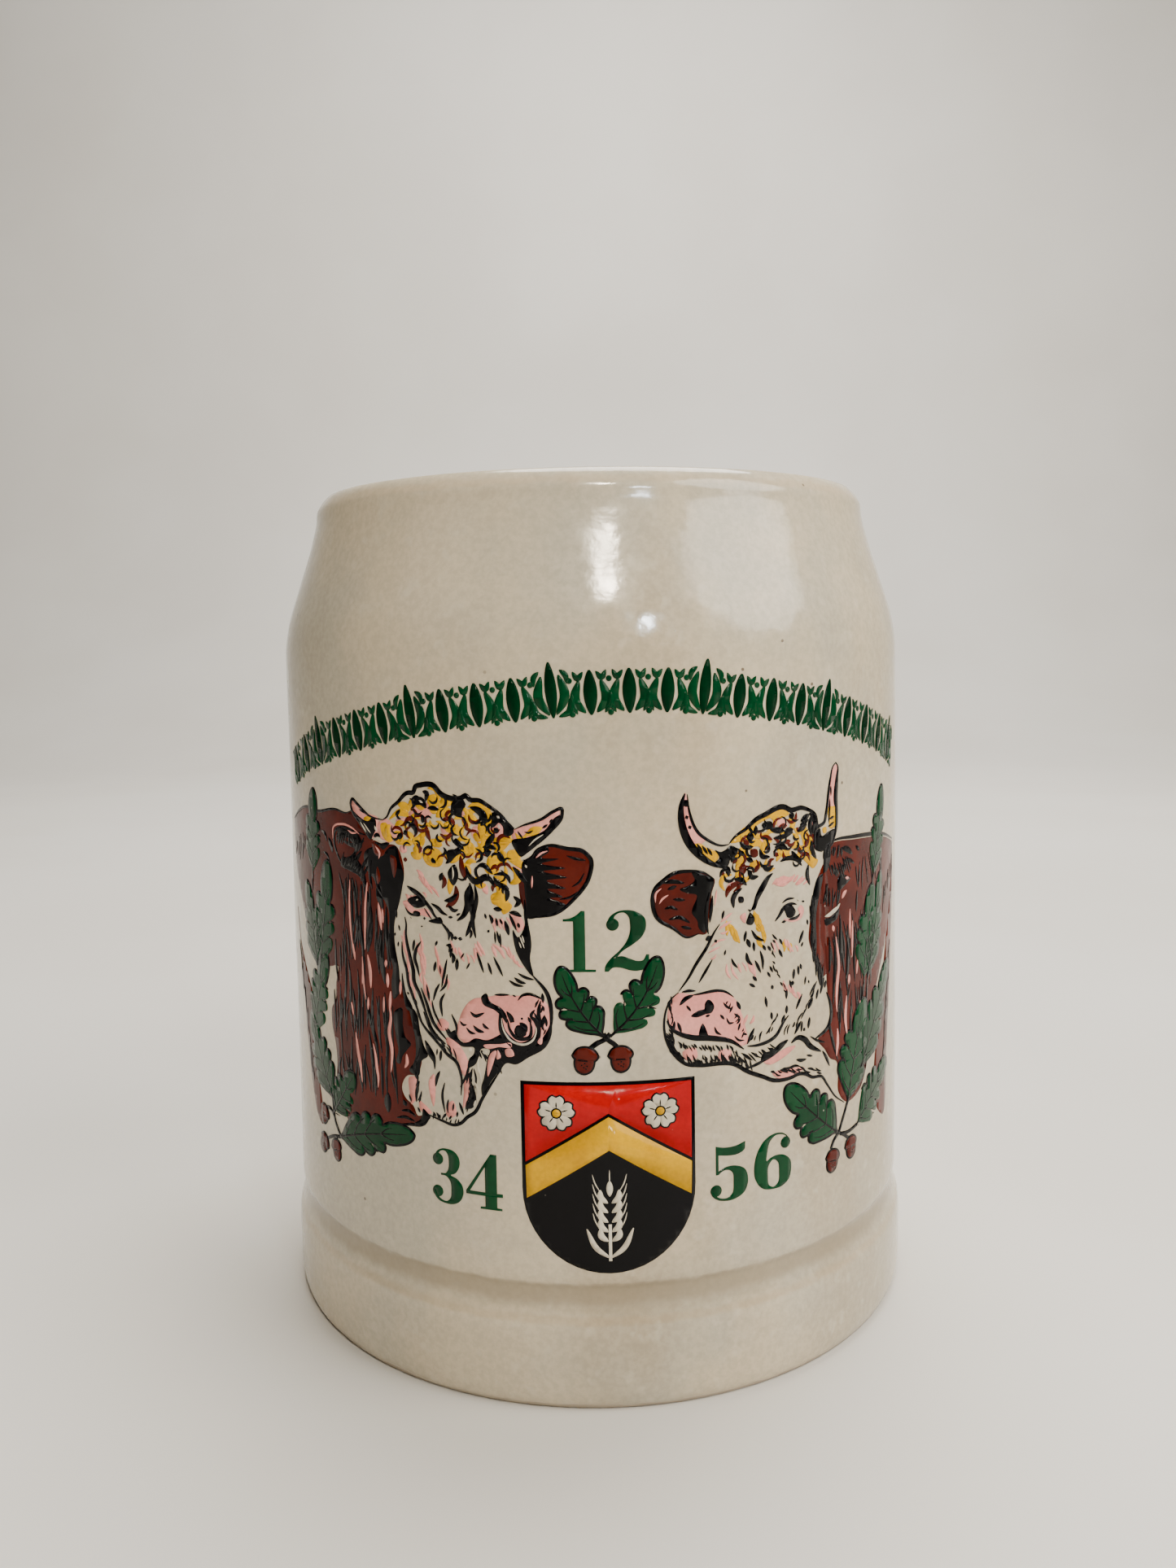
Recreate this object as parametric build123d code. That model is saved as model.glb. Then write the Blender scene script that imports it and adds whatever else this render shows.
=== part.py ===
"""Half-litre stoneware beer mug (stein) without a lid: a thick-walled jiggered body, a cast strap
handle luted on at the back with two collars of slip, and the films of enamel print fired on the front.

Millimetres, +Z up. The origin is the centre of the foot ring on the table plane. The decorated front
faces -Y and the handle stands out along +Y.
"""

from build123d import *

import os
from math import cos, radians, sin

# ---- driving dimensions: body -------------------------------------------------------------
height = 123.5              # table to the top of the lip
shoulder_radius = 48.0      # outside, at the top of the straight wall
wall_flare = 0.95           # how much wider the straight wall is at its foot than at the shoulder
rim_radius = 42.6           # outside, just under the lip
wall_thickness = 5.8        # through the straight wall
lip_thickness = 5.0         # through the neck, just under the lip
shoulder_drop = 24.5        # lip top down to where the wall starts to close in
floor_thickness = 6.0       # clay between the inside floor and the recess underneath
inside_corner = 9.0         # radius between the inside floor and the inside wall
lip_height = 3.1            # top of the neck to the top of the lip
lip_lean = 1.15             # how far the lip's outer face leans in towards its top

# ---- driving dimensions: foot -------------------------------------------------------------
foot_band_height = 12.6     # table to the rounded top edge of the foot band
foot_band_proud = 0.75      # the band stands out this far from the bottom of the straight wall
cove_height = 5.3           # hollow moulding between the foot band and the wall
cove_depth = 0.5            # how far the cove bites in under the wall
ridge_round = 1.2           # height of the rounding on the foot band's top edge
foot_edge = 3.0             # height of the rounded outer edge of the foot
foot_roll = 1.5             # how far that edge rolls in underneath
foot_ring_width = 6.2       # flat ring that the mug stands on
recess_depth = 2.2          # underside recess inside the foot ring
recess_edge = 1.2           # how far the recess wall leans in over its depth

# ---- driving dimensions: handle -----------------------------------------------------------
handle_drop = 25.5          # lip top down to the middle of the upper joint
handle_rise = 16.0          # foot band top up to the middle of the lower joint
finger_gap = 31.0           # clear space between the wall and the inside of the grip
grip_width = 19.0           # across the strap at the top
grip_thickness = 11.5       # through the strap at the top
grip_taper = 0.82           # the lower end's section as a share of the upper one's
root_depth = 3.0            # the handle's path starts this far inside the wall line
lute_flare = 3.4            # the slip collar stands out this far around the handle, at the wall
lute_reach = 5.5            # and runs this far out along it
lute_edge = 0.35            # thickness of the collar's outer end

# ---- driving dimensions: print ------------------------------------------------------------
print_thickness = 0.08      # fired enamel film
print_margin = 1.1          # bare wall above and below the artwork
art_low, art_high = 19.0, 97.9      # heights between which the artwork is drawn
art_half_width = 58.0       # drawn arc length from the front centre line to either side
art_wrap = radians(70.0)    # the artwork never reaches further round than this
print_gap = 0.3             # bare line left between two films that lie side by side

# ---- worked out from the above ------------------------------------------------------------
wall_low = foot_band_height + cove_height
wall_high = height - shoulder_drop
low_radius = shoulder_radius + wall_flare
band_radius = low_radius + foot_band_proud
floor_top = recess_depth + floor_thickness
inner_low_radius = low_radius - wall_thickness
inner_high_radius = shoulder_radius - wall_thickness
inner_rim_radius = rim_radius - lip_thickness
art_scale = min((wall_high - wall_low - 2 * print_margin) / (art_high - art_low),
                art_wrap * shoulder_radius / art_half_width)


def at(radius, z):
    """A point of a turned profile, in the XZ plane."""
    return (radius, 0, z)


def wall_radius(z):
    """Outside radius of the straight wall at a height."""
    share = (wall_high - z) / (wall_high - wall_low)
    return shoulder_radius + wall_flare * share


# ---- body ---------------------------------------------------------------------------------
def outer_edges():
    """Outside of the body from the foot's resting ring up to the top of the lip."""
    ridge_start = at(band_radius - 0.1, foot_band_height - ridge_round)
    ridge_end = at(band_radius - 0.5, foot_band_height + 0.25 * ridge_round)
    lip_start = at(rim_radius - 0.02, height - lip_height)
    lip_side = at(rim_radius - 0.5 * lip_lean, height - 0.5 * lip_height)
    lip_top = at(rim_radius - lip_lean, height - 0.25 * lip_height)
    shoulder_span = lip_start[2] - wall_high
    closing = shoulder_radius - rim_radius
    return [
        ThreePointArc(at(band_radius - foot_roll, 0), at(band_radius - 0.3 * foot_roll, 0.3 * foot_edge),
                      at(band_radius, foot_edge)),
        Line(at(band_radius, foot_edge), ridge_start),
        ThreePointArc(ridge_start, at(band_radius - 0.2, foot_band_height - ridge_round / 3), ridge_end),
        ThreePointArc(ridge_end,
                      at(low_radius - 0.7 * cove_depth, foot_band_height + 0.45 * cove_height),
                      at(low_radius - cove_depth, wall_low - 0.8)),
        ThreePointArc(at(low_radius - cove_depth, wall_low - 0.8), at(low_radius - 0.12, wall_low - 0.5),
                      at(low_radius, wall_low)),
        Line(at(low_radius, wall_low), at(shoulder_radius, wall_high)),
        Spline(at(shoulder_radius, wall_high),
               at(shoulder_radius - 0.13 * closing, wall_high + 0.25 * shoulder_span),
               at(shoulder_radius - 0.49 * closing, wall_high + 0.535 * shoulder_span),
               at(shoulder_radius - 0.85 * closing, wall_high + 0.82 * shoulder_span),
               lip_start,
               tangents=[(shoulder_radius - low_radius, 0, wall_high - wall_low), (-0.1, 0, 1)]),
        ThreePointArc(lip_start, at(rim_radius - 0.14 * lip_lean, height - 0.73 * lip_height), lip_side),
        Line(lip_side, lip_top),
        ThreePointArc(lip_top, at(rim_radius - 1.4 * lip_lean, height - 0.08 * lip_height),
                      at(rim_radius - 0.5 * lip_thickness, height)),
    ]


def inner_edges():
    """Inside of the body from the top of the lip down to the middle of the floor."""
    neck = at(inner_rim_radius, height - 4.0)
    shoulder_span = neck[2] - wall_high
    closing = inner_high_radius - inner_rim_radius
    corner_z = floor_top + inside_corner
    return [
        ThreePointArc(at(rim_radius - 0.5 * lip_thickness, height),
                      at(inner_rim_radius + 0.55, height - 1.1), neck),
        Spline(neck,
               at(inner_rim_radius + 0.5 * closing, wall_high + 0.5 * shoulder_span),
               at(inner_high_radius, wall_high - 1.0),
               tangents=[(0.1, 0, -1), (inner_low_radius - inner_high_radius, 0, wall_low - wall_high)]),
        Line(at(inner_high_radius, wall_high - 1.0), at(inner_low_radius, corner_z)),
        ThreePointArc(at(inner_low_radius, corner_z),
                      at(inner_low_radius - inside_corner * (1 - cos(radians(45))),
                         floor_top + inside_corner * (1 - sin(radians(45)))),
                      at(inner_low_radius - inside_corner, floor_top)),
        Line(at(inner_low_radius - inside_corner, floor_top), at(0, floor_top)),
    ]


def make_body():
    """The jiggered body: outside, inside, recessed underside and flat foot ring in one turned solid."""
    ring_outer = band_radius - foot_roll
    ring_inner = ring_outer - foot_ring_width
    edges = outer_edges() + inner_edges() + [
        Line(at(0, floor_top), at(0, recess_depth)),
        Line(at(0, recess_depth), at(ring_inner - recess_edge, recess_depth)),
        Line(at(ring_inner - recess_edge, recess_depth), at(ring_inner, 0)),
        Line(at(ring_inner, 0), at(ring_outer, 0)),
    ]
    return revolve(make_face(edges), Axis.Z)


def make_filled_body():
    """The body's outside with no hollow, used to cut whatever stops at the wall."""
    edges = outer_edges() + [
        Line(at(rim_radius - 0.5 * lip_thickness, height), at(0, height)),
        Line(at(0, height), at(0, 0)),
        Line(at(0, 0), at(band_radius - foot_roll, 0)),
    ]
    return revolve(make_face(edges), Axis.Z)


# ---- handle -------------------------------------------------------------------------------
def handle_path():
    """Middle line of the ear-shaped handle, in the YZ plane, from the upper joint to the lower."""
    top_z = height - handle_drop
    low_z = foot_band_height + handle_rise
    fall = top_z - low_z
    grip_y = shoulder_radius + finger_gap + 0.5 * grip_thickness
    reach = grip_y - shoulder_radius
    return Spline(
        (0, shoulder_radius - root_depth, top_z),
        (0, shoulder_radius + 0.64 * reach, top_z - 0.02 * fall),
        (0, grip_y, top_z - 0.31 * fall),
        (0, shoulder_radius + 0.80 * reach, top_z - 0.67 * fall),
        (0, shoulder_radius + 0.38 * reach, top_z - 0.91 * fall),
        (0, wall_radius(low_z) - root_depth, low_z),
        tangents=[(0, 1, 0.16), (0, -1, -0.22)],
    )


def strap_section(path, share, grown=0.0):
    """Elliptical section of the strap across its path.

    share is the place along the path from 0 to 1, and grown widens the section all round.
    """
    taper = 1 - (1 - grip_taper) * share
    across = Plane(origin=path @ share, x_dir=(1, 0, 0), z_dir=path % share)
    return across * Ellipse(0.5 * grip_width * taper + grown, 0.5 * grip_thickness * taper + grown)


def make_handle(path, filled_body):
    """The cast strap, cut off where it meets the wall."""
    stations = [0, 0.08, 0.18, 0.3, 0.42, 0.54, 0.66, 0.78, 0.88, 0.95, 1]
    return loft([strap_section(path, share) for share in stations]) - filled_body


def make_lute(path, handle, filled_body, upper):
    """One collar of slip around the handle's end, hollow towards the handle like a wiped fillet."""
    whole = path.length
    # The collar starts wider than its flare inside the wall, so that the wall cuts it at full flare.
    steps = [(0, 1.5 * lute_flare), (root_depth, 0.75 * lute_flare),
             (root_depth + 0.4 * lute_reach, 0.3 * lute_flare), (root_depth + lute_reach, lute_edge)]
    sections = []
    for along, grown in steps:
        share = along / whole if upper else 1 - along / whole
        sections.append(strap_section(path, share, grown))
    return loft(sections) - handle - filled_body


# ---- print --------------------------------------------------------------------------------
def on_wall(points, middle):
    """Drawn points, as arc length and height, placed flat in front of their own stretch of wall."""
    placed = []
    for arc, z in points:
        turn = (arc - middle) * art_scale / shoulder_radius
        placed.append((shoulder_radius * sin(turn), wall_low + print_margin + (z - art_low) * art_scale))
    return placed


def facing(middle):
    """Upright plane through the mug's axis that looks out at an arc length from the front centre."""
    turn = middle * art_scale / shoulder_radius
    return Plane(origin=(0, 0, 0), x_dir=(cos(turn), sin(turn), 0), z_dir=(sin(turn), -cos(turn), 0))


def film_shell():
    """A full ring of enamel on the straight wall, from which every film is cut."""
    low, high = wall_low + 0.1, wall_high - 0.1
    return revolve(make_face(Polyline(
        at(wall_radius(low), low), at(wall_radius(low) + print_thickness, low),
        at(wall_radius(high) + print_thickness, high), at(wall_radius(high), high), close=True)), Axis.Z)


def prism(face, middle):
    """A drawn face pushed out from the axis through the wall."""
    return extrude(facing(middle) * face, amount=band_radius + 5)


def drawn(points, middle):
    """A closed outline with short straight sides through drawn points."""
    return make_face(Polyline(*on_wall(points, middle), close=True))


# Each outline is a list of (arc length from the front centre line, height), in the artwork's own scale.
LEFT_BULL = [(-57.8, 75.3), (-52, 77.4), (-44, 78.2), (-38.5, 78.4), (-35.9, 80.6), (-30.8, 78),
             (-28, 80.3), (-24, 82.8), (-19.5, 82.8), (-14, 81), (-10.2, 78.2), (-4.2, 80.6), (-4.9, 78),
             (-7.2, 75.6), (-3.4, 75.5), (-0.4, 73.6), (-2.6, 68.9), (-7.9, 66.6), (-8.3, 61.8),
             (-6.2, 57.6), (-6, 52.4), (-9, 48.6), (-13, 46.4), (-16, 40.4), (-20.4, 38), (-27, 37.2),
             (-34, 36), (-40.2, 35.4), (-41.2, 42), (-42.2, 48.6), (-43.5, 55), (-46, 45), (-47, 33),
             (-49, 33), (-51.4, 45), (-54, 58)]
RIGHT_BULL = [(11.7, 82.2), (12.9, 78), (17.7, 75.2), (20, 77.8), (25.3, 79.4), (29.8, 78.8), (32.2, 76.4),
              (34.4, 77.8), (35.3, 83.4), (36.4, 84.2), (36.4, 79.6), (35.5, 73.8), (41.5, 73.3), (49, 72),
              (56.6, 68.7), (55.2, 54), (52.8, 40), (50.6, 30), (46.4, 34.2), (40.2, 38), (35.4, 40.3),
              (29.8, 42.4), (22.3, 44.1), (17.3, 46.4), (11.1, 47), (8.7, 51.6), (9.4, 55.3), (12, 57.2),
              (14.6, 63.4), (9.6, 66.2), (7.4, 69.1), (10.3, 71.8), (14.6, 71.6), (13.6, 74.2), (11.4, 78)]
LEFT_BRANCH = [(-47, 81.2), (-44.8, 78.6), (-45.6, 73.6), (-41.4, 71), (-39.8, 67), (-42.6, 60), (-42, 52),
               (-43.6, 45), (-42, 39.6), (-37.2, 41.6), (-36.2, 38), (-31, 37.6), (-25.8, 36), (-27, 32.6),
               (-34, 29), (-40, 29.4), (-44, 27), (-47.6, 29.6), (-46, 35), (-49.4, 42), (-48, 50),
               (-50.6, 58), (-50, 66), (-51.8, 72), (-50.6, 78)]
RIGHT_BRANCH = [(50, 80.2), (51, 76), (49.2, 70.6), (48.8, 66), (51.4, 60), (48, 55), (54.4, 53), (53.6, 46),
                (53.6, 38.6), (50, 33.4), (44, 31.4), (41, 27.4), (34.6, 26.6), (35.4, 31), (29.6, 33.6),
                (26, 40.6), (31, 40), (35.8, 35.8), (38.4, 42), (40.6, 49), (42.4, 56), (43.4, 64), (45, 70),
                (46, 77)]
SCROLL_BAND = [(-55, 82.4), (-48, 86), (-36, 88.6), (-22, 91.6), (-8, 93.4), (6, 93.8), (20, 92.6),
               (34, 90), (46, 86.8), (53.6, 83.6), (54.6, 88.6), (48, 92), (36, 94.8), (22, 97), (6, 97.9),
               (-8, 97.6), (-22, 95.9), (-36, 93), (-48, 90), (-56, 86.6)]
CENTRE_SPRIG = [(-4.6, 60.2), (-3, 57), (0, 55.2), (1.2, 51.6), (2.6, 55.4), (5, 58.8), (8.2, 61.2),
                (8.6, 57), (6.6, 52.4), (4.4, 49.4), (4, 46.4), (2.4, 46.4), (1.2, 49.4), (-1, 46.2),
                (-3, 47), (-2.6, 50), (-5, 54.6), (-5.6, 58)]
SHIELD_LEFT, SHIELD_RIGHT, SHIELD_TOP, SHIELD_SIDE, SHIELD_FOOT = -9.9, 12.6, 45.0, 30.4, 19.2
# Figures: middle of each figure's footprint, with the figure's width and height.
UPPER_FIGURES = [(-2.0, 63.4, 4.8, 7.8), (3.9, 63.6, 6.4, 7.6)]
LEFT_FIGURES = [(-20.6, 30.8, 4.6, 7.6), (-15.4, 31.0, 5.2, 7.6)]
RIGHT_FIGURES = [(17.2, 31.4, 5.6, 7.6), (24.4, 31.4, 5.6, 7.6)]


def shield_face(middle):
    """A U-shaped shield: straight top and sides, and a round foot."""
    centre = 0.5 * (SHIELD_LEFT + SHIELD_RIGHT)
    corners = on_wall([(SHIELD_LEFT, SHIELD_TOP), (SHIELD_LEFT, SHIELD_SIDE), (centre, SHIELD_FOOT),
                       (SHIELD_RIGHT, SHIELD_SIDE), (SHIELD_RIGHT, SHIELD_TOP)], middle)
    return make_face([Line(corners[0], corners[1]), ThreePointArc(corners[1], corners[2], corners[3]),
                      Line(corners[3], corners[4]), Line(corners[4], corners[0])])


def figure_films(shell, figures):
    """One rounded film for each numeral of a group."""
    films = []
    for arc, z, width, tall in figures:
        centre = on_wall([(arc, z)], arc)[0]
        face = Pos(*centre) * RectangleRounded(width * art_scale, tall * art_scale, 0.3 * width * art_scale)
        films.append(shell & prism(face, arc))
    return Compound(children=[solid for film in films for solid in film.solids()])


def make_prints():
    """Every separate film of enamel on the front, by name."""
    shell = film_shell()
    left, right = -29.0, 32.0
    left_branch, right_branch = -46.0, 44.0
    left_cut = prism(offset(drawn(LEFT_BRANCH, left_branch), print_gap, kind=Kind.INTERSECTION), left_branch)
    right_cut = prism(offset(drawn(RIGHT_BRANCH, right_branch), print_gap, kind=Kind.INTERSECTION), right_branch)
    return {
        "left_bull_print": (shell & prism(drawn(LEFT_BULL, left), left)) - left_cut,
        "right_bull_print": (shell & prism(drawn(RIGHT_BULL, right), right)) - right_cut,
        "left_oak_branch_print": shell & prism(drawn(LEFT_BRANCH, left_branch), left_branch),
        "right_oak_branch_print": shell & prism(drawn(RIGHT_BRANCH, right_branch), right_branch),
        "scroll_band_print": shell & prism(drawn(SCROLL_BAND, 0), 0),
        "centre_sprig_print": shell & prism(drawn(CENTRE_SPRIG, 1.6), 1.6),
        "shield_print": shell & prism(shield_face(1.35), 1.35),
        "upper_figures_print": figure_films(shell, UPPER_FIGURES),
        "left_figures_print": figure_films(shell, LEFT_FIGURES),
        "right_figures_print": figure_films(shell, RIGHT_FIGURES),
    }


# ---- everything ---------------------------------------------------------------------------
def main():
    """Builds every piece and writes one STEP file for each."""
    filled_body = make_filled_body()
    path = handle_path()
    handle = make_handle(path, filled_body)
    parts = {
        "body": make_body(),
        "handle": handle,
        "upper_lute": make_lute(path, handle, filled_body, upper=True),
        "lower_lute": make_lute(path, handle, filled_body, upper=False),
    }
    parts.update(make_prints())
    os.makedirs("parts", exist_ok=True)
    for name, shape in parts.items():
        export_step(shape, f"parts/{name}.step")
        print(f"{name}: {len(shape.solids())} solid(s), {shape.volume:.1f} mm3")


main()
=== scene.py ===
"""Looks of a half-litre stoneware beer mug: glazed body, luted handle and a fired-on enamel print.

Everything is in metres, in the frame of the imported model. The print is drawn on the unrolled wall, in
millimetres of arc from the front centre line and millimetres of height, and is then wrapped on the wall
as thin closed films, one piece for each colour of each motif.
"""

from __future__ import annotations
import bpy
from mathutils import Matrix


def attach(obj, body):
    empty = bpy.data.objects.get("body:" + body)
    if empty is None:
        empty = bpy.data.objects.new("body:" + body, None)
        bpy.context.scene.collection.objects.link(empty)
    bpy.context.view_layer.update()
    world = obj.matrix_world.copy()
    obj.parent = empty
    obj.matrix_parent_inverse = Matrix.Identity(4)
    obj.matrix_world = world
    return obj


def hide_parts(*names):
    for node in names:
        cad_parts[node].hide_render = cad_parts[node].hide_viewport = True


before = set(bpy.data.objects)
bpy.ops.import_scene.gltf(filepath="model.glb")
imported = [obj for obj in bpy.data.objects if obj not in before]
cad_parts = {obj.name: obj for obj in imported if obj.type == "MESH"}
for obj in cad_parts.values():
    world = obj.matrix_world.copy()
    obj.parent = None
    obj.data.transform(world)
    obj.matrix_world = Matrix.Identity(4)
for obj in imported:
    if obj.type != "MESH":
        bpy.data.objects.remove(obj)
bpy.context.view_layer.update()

import logging
import random
from dataclasses import dataclass, field
from enum import Enum, IntEnum
from math import atan2, ceil, cos, hypot, pi, radians, sin
from typing import Iterable, Sequence

import bmesh
import bpy
from mathutils import Matrix, Vector
from mathutils.geometry import tessellate_polygon

Point = tuple[float, float]
Triple = tuple[float, float, float]
Socket = bpy.types.NodeSocket
Piece = bpy.types.Object
MM = 0.001
SAME_POINT = 1e-7
ROOT_BODY = "root"
log = logging.getLogger("mug")


# ---- drawing on the unrolled wall ----------------------------------------------------------
def path(text: str) -> list[Point]:
    """Reads points written as "arc height, arc height, ...".

    Args:
        text: the points in millimetres. A star after a point makes it a corner, by giving it twice.

    Returns:
        The points as pairs of numbers.
    """
    points: list[Point] = []
    for pair in text.split(","):
        arc, height = pair.strip().rstrip("*").split()
        points += [(float(arc), float(height))] * (2 if pair.strip().endswith("*") else 1)
    return points


def smooth(points: Sequence[Point], closed: bool = True, step: float = 0.35) -> list[Point]:
    """Runs a smooth line through points, with corners where a point is given twice.

    Args:
        points: the points to pass through.
        closed: whether the line comes back to its first point.
        step: the longest piece of the finished line.

    Returns:
        The finished line's points.
    """
    knots: list[Point] = []
    corners: set[int] = set()
    for point in points:
        if knots and knots[-1] == point:
            corners.add(len(knots) - 1)
        else:
            knots.append(point)
    count = len(knots)
    line: list[Point] = []
    for i in range(count if closed else count - 1):
        a, b = knots[i], knots[(i + 1) % count]
        span = hypot(b[0] - a[0], b[1] - a[1]) or 1e-9
        leave = slope(knots, corners, i, closed, (a, b), span)
        arrive = slope(knots, corners, (i + 1) % count, closed, (a, b), span)
        pieces = max(1, ceil(span / step))
        for n in range(pieces):
            t = n / pieces
            h = (2 * t**3 - 3 * t**2 + 1, t**3 - 2 * t**2 + t, 3 * t**2 - 2 * t**3, t**3 - t**2)
            line.append(tuple(h[0] * a[k] + h[1] * leave[k] + h[2] * b[k] + h[3] * arrive[k] for k in (0, 1)))
    if not closed:
        line.append(knots[-1])
    return line


def slope(knots: Sequence[Point], corners: set[int], i: int, closed: bool,
          segment: tuple[Point, Point], span: float) -> Point:
    """Direction of a smooth line at one of its knots, times the length of a segment that ends there.

    Args:
        knots: the line's knots.
        corners: which of them are corners.
        i: the knot asked about.
        closed: whether the line is closed.
        segment: the two ends of the segment that is being drawn.
        span: that segment's length.

    Returns:
        The direction, as a pair of numbers.
    """
    count = len(knots)
    if i in corners or (not closed and i in (0, count - 1)):
        return (segment[1][0] - segment[0][0], segment[1][1] - segment[0][1])
    before, here, after = knots[i - 1], knots[i], knots[(i + 1) % count]
    back = hypot(here[0] - before[0], here[1] - before[1]) or 1e-9
    ahead = hypot(after[0] - here[0], after[1] - here[1]) or 1e-9
    return tuple(span * ((here[k] - before[k]) / back * ahead + (after[k] - here[k]) / ahead * back)
                 / (back + ahead) for k in (0, 1))


class Tip(Enum):
    """How a brush stroke ends."""

    BLUNT = "blunt"
    THIN_BOTH = "thin at both ends"
    THIN_END = "thin at its end"

    def swell(self, t: float) -> float:
        """Share of the full width at a place from 0 to 1 along the stroke.

        Args:
            t: how far along the stroke, from 0 to 1.

        Returns:
            The share.
        """
        if self is Tip.THIN_BOTH:
            return 0.14 + 0.86 * sin(pi * t) ** 0.75
        if self is Tip.THIN_END:
            return 0.1 + 0.9 * (1 - t) ** 0.6
        return 1.0


def stroke_outline(points: Sequence[Point], width: float, tip: Tip = Tip.THIN_BOTH,
                   step: float = 0.3) -> list[Point]:
    """Outline of a pen or brush stroke.

    Args:
        points: places the stroke's middle passes through.
        width: its greatest width.
        tip: how it ends.
        step: the longest piece of its middle line.

    Returns:
        The closed outline.
    """
    middle = smooth(points, closed=False, step=step)
    last = len(middle) - 1
    left, right = [], []
    for i, (x, y) in enumerate(middle):
        ax, ay = middle[max(i - 1, 0)]
        bx, by = middle[min(i + 1, last)]
        run = hypot(bx - ax, by - ay) or 1e-9
        half = 0.5 * width * tip.swell(i / max(last, 1))
        nx, ny = -(by - ay) / run * half, (bx - ax) / run * half
        left.append((x + nx, y + ny))
        right.append((x - nx, y - ny))
    return left + right[::-1]


def disc(centre: Point, radius: float, tall: float | None = None, count: int = 20) -> list[Point]:
    """Outline of a filled circle or upright ellipse.

    Args:
        centre: its middle.
        radius: half its width.
        tall: half its height, if not the same.
        count: how many points it has.

    Returns:
        The closed outline.
    """
    tall = radius if tall is None else tall
    return [(centre[0] + radius * cos(2 * pi * i / count), centre[1] + tall * sin(2 * pi * i / count))
            for i in range(count)]


def inside(point: Point, outline: Sequence[Point]) -> bool:
    """Whether a point lies within a closed outline.

    Args:
        point: the point.
        outline: the closed outline.

    Returns:
        True if the point is inside.
    """
    x, y = point
    result = False
    for (ax, ay), (bx, by) in zip(outline, list(outline[1:]) + [outline[0]]):
        if (ay > y) != (by > y) and x < (bx - ax) * (y - ay) / (by - ay) + ax:
            result = not result
    return result


def moved(points: Iterable[Point], by: Point, turn: float = 0.0, size: float = 1.0) -> list[Point]:
    """Points turned about the origin, sized and then moved."""
    c, s = size * cos(turn), size * sin(turn)
    return [(by[0] + c * x - s * y, by[1] + s * x + c * y) for x, y in points]


# ---- colours of the print ------------------------------------------------------------------
class Ink(Enum):
    """The enamels, each with its material slot and the level that it usually prints at."""

    YELLOW = ("yellow_enamel", 1)
    BROWN = ("brown_enamel", 2)
    PINK = ("pink_enamel", 3)
    RED = ("red_enamel", 3)
    WHITE = ("white_enamel", 4)
    GREEN = ("green_enamel", 5)
    BLACK = ("black_enamel", 6)

    @property
    def slot(self) -> str:
        """Name of the ink's material slot."""
        return self.value[0]

    @property
    def level(self) -> int:
        """Level at which the ink usually prints."""
        return self.value[1]


@dataclass
class Shape:
    """One closed printed area: its outline, the holes left in it and its level in the stack of inks."""

    outline: list[Point]
    holes: list[list[Point]]
    level: int


def grown(outline: Sequence[Point], by: float) -> list[Point]:
    """Moves an outline outwards, or inwards if the distance is negative.

    Args:
        outline: the closed outline.
        by: how far to move it.

    Returns:
        The moved outline, without the points that would fall back on the line.
    """
    count = len(outline)
    area = sum(a[0] * b[1] - b[0] * a[1] for a, b in zip(outline, [*outline[1:], outline[0]]))
    side = by if area > 0 else -by
    result = []
    for i, (x, y) in enumerate(outline):
        ax, ay = outline[i - 1]
        bx, by_ = outline[(i + 1) % count]
        run = hypot(bx - ax, by_ - ay) or 1e-9
        px, py = x + (by_ - ay) / run * side, y - (bx - ax) / run * side
        if all(hypot(px - qx, py - qy) > abs(by) * 0.96 for qx, qy in outline):
            result.append((px, py))
    return result


def mirrored(points: Iterable[Point], at: float = 0.0) -> list[Point]:
    """Points mirrored left to right about an upright line."""
    return [(2 * at - x, y) for x, y in points]


# ---- the wall and the films on it ----------------------------------------------------------
@dataclass(frozen=True)
class Wall:
    """The straight part of the mug's outside, which carries the print. Sizes are in millimetres."""

    low: float = 17.9
    high: float = 99.0
    low_radius: float = 48.95
    high_radius: float = 48.0
    strip: float = 1.2
    first_lift: float = 0.02
    lift_step: float = 0.008
    sunk: float = 0.01

    def radius(self, z: float) -> float:
        """Radius of the wall at a height, before the ware's unevenness."""
        share = (self.high - z) / (self.high - self.low)
        return self.high_radius + (self.low_radius - self.high_radius) * share

    @staticmethod
    def unevenness(turn: float, z: float) -> float:
        """How far the fired clay strays from a true turned shape at a place, in millimetres."""
        return (0.05 * sin(2 * turn + 0.6) + 0.035 * sin(3 * turn + 0.045 * z + 1.1)
                + 0.03 * sin(0.16 * z + 1.7 * sin(turn)))

    def place(self, arc: float, z: float, lift: float) -> Vector:
        """A point drawn on the unrolled wall, put on the real wall.

        Args:
            arc: millimetres around the wall from the front centre line, positive to the right.
            z: millimetres above the table.
            lift: millimetres out from the glaze.

        Returns:
            The point in metres.
        """
        turn = arc / self.high_radius
        radius = self.radius(z) + self.unevenness(turn, z) + lift
        return Vector((radius * sin(turn), -radius * cos(turn), z)) * MM


WALL = Wall()


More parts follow.
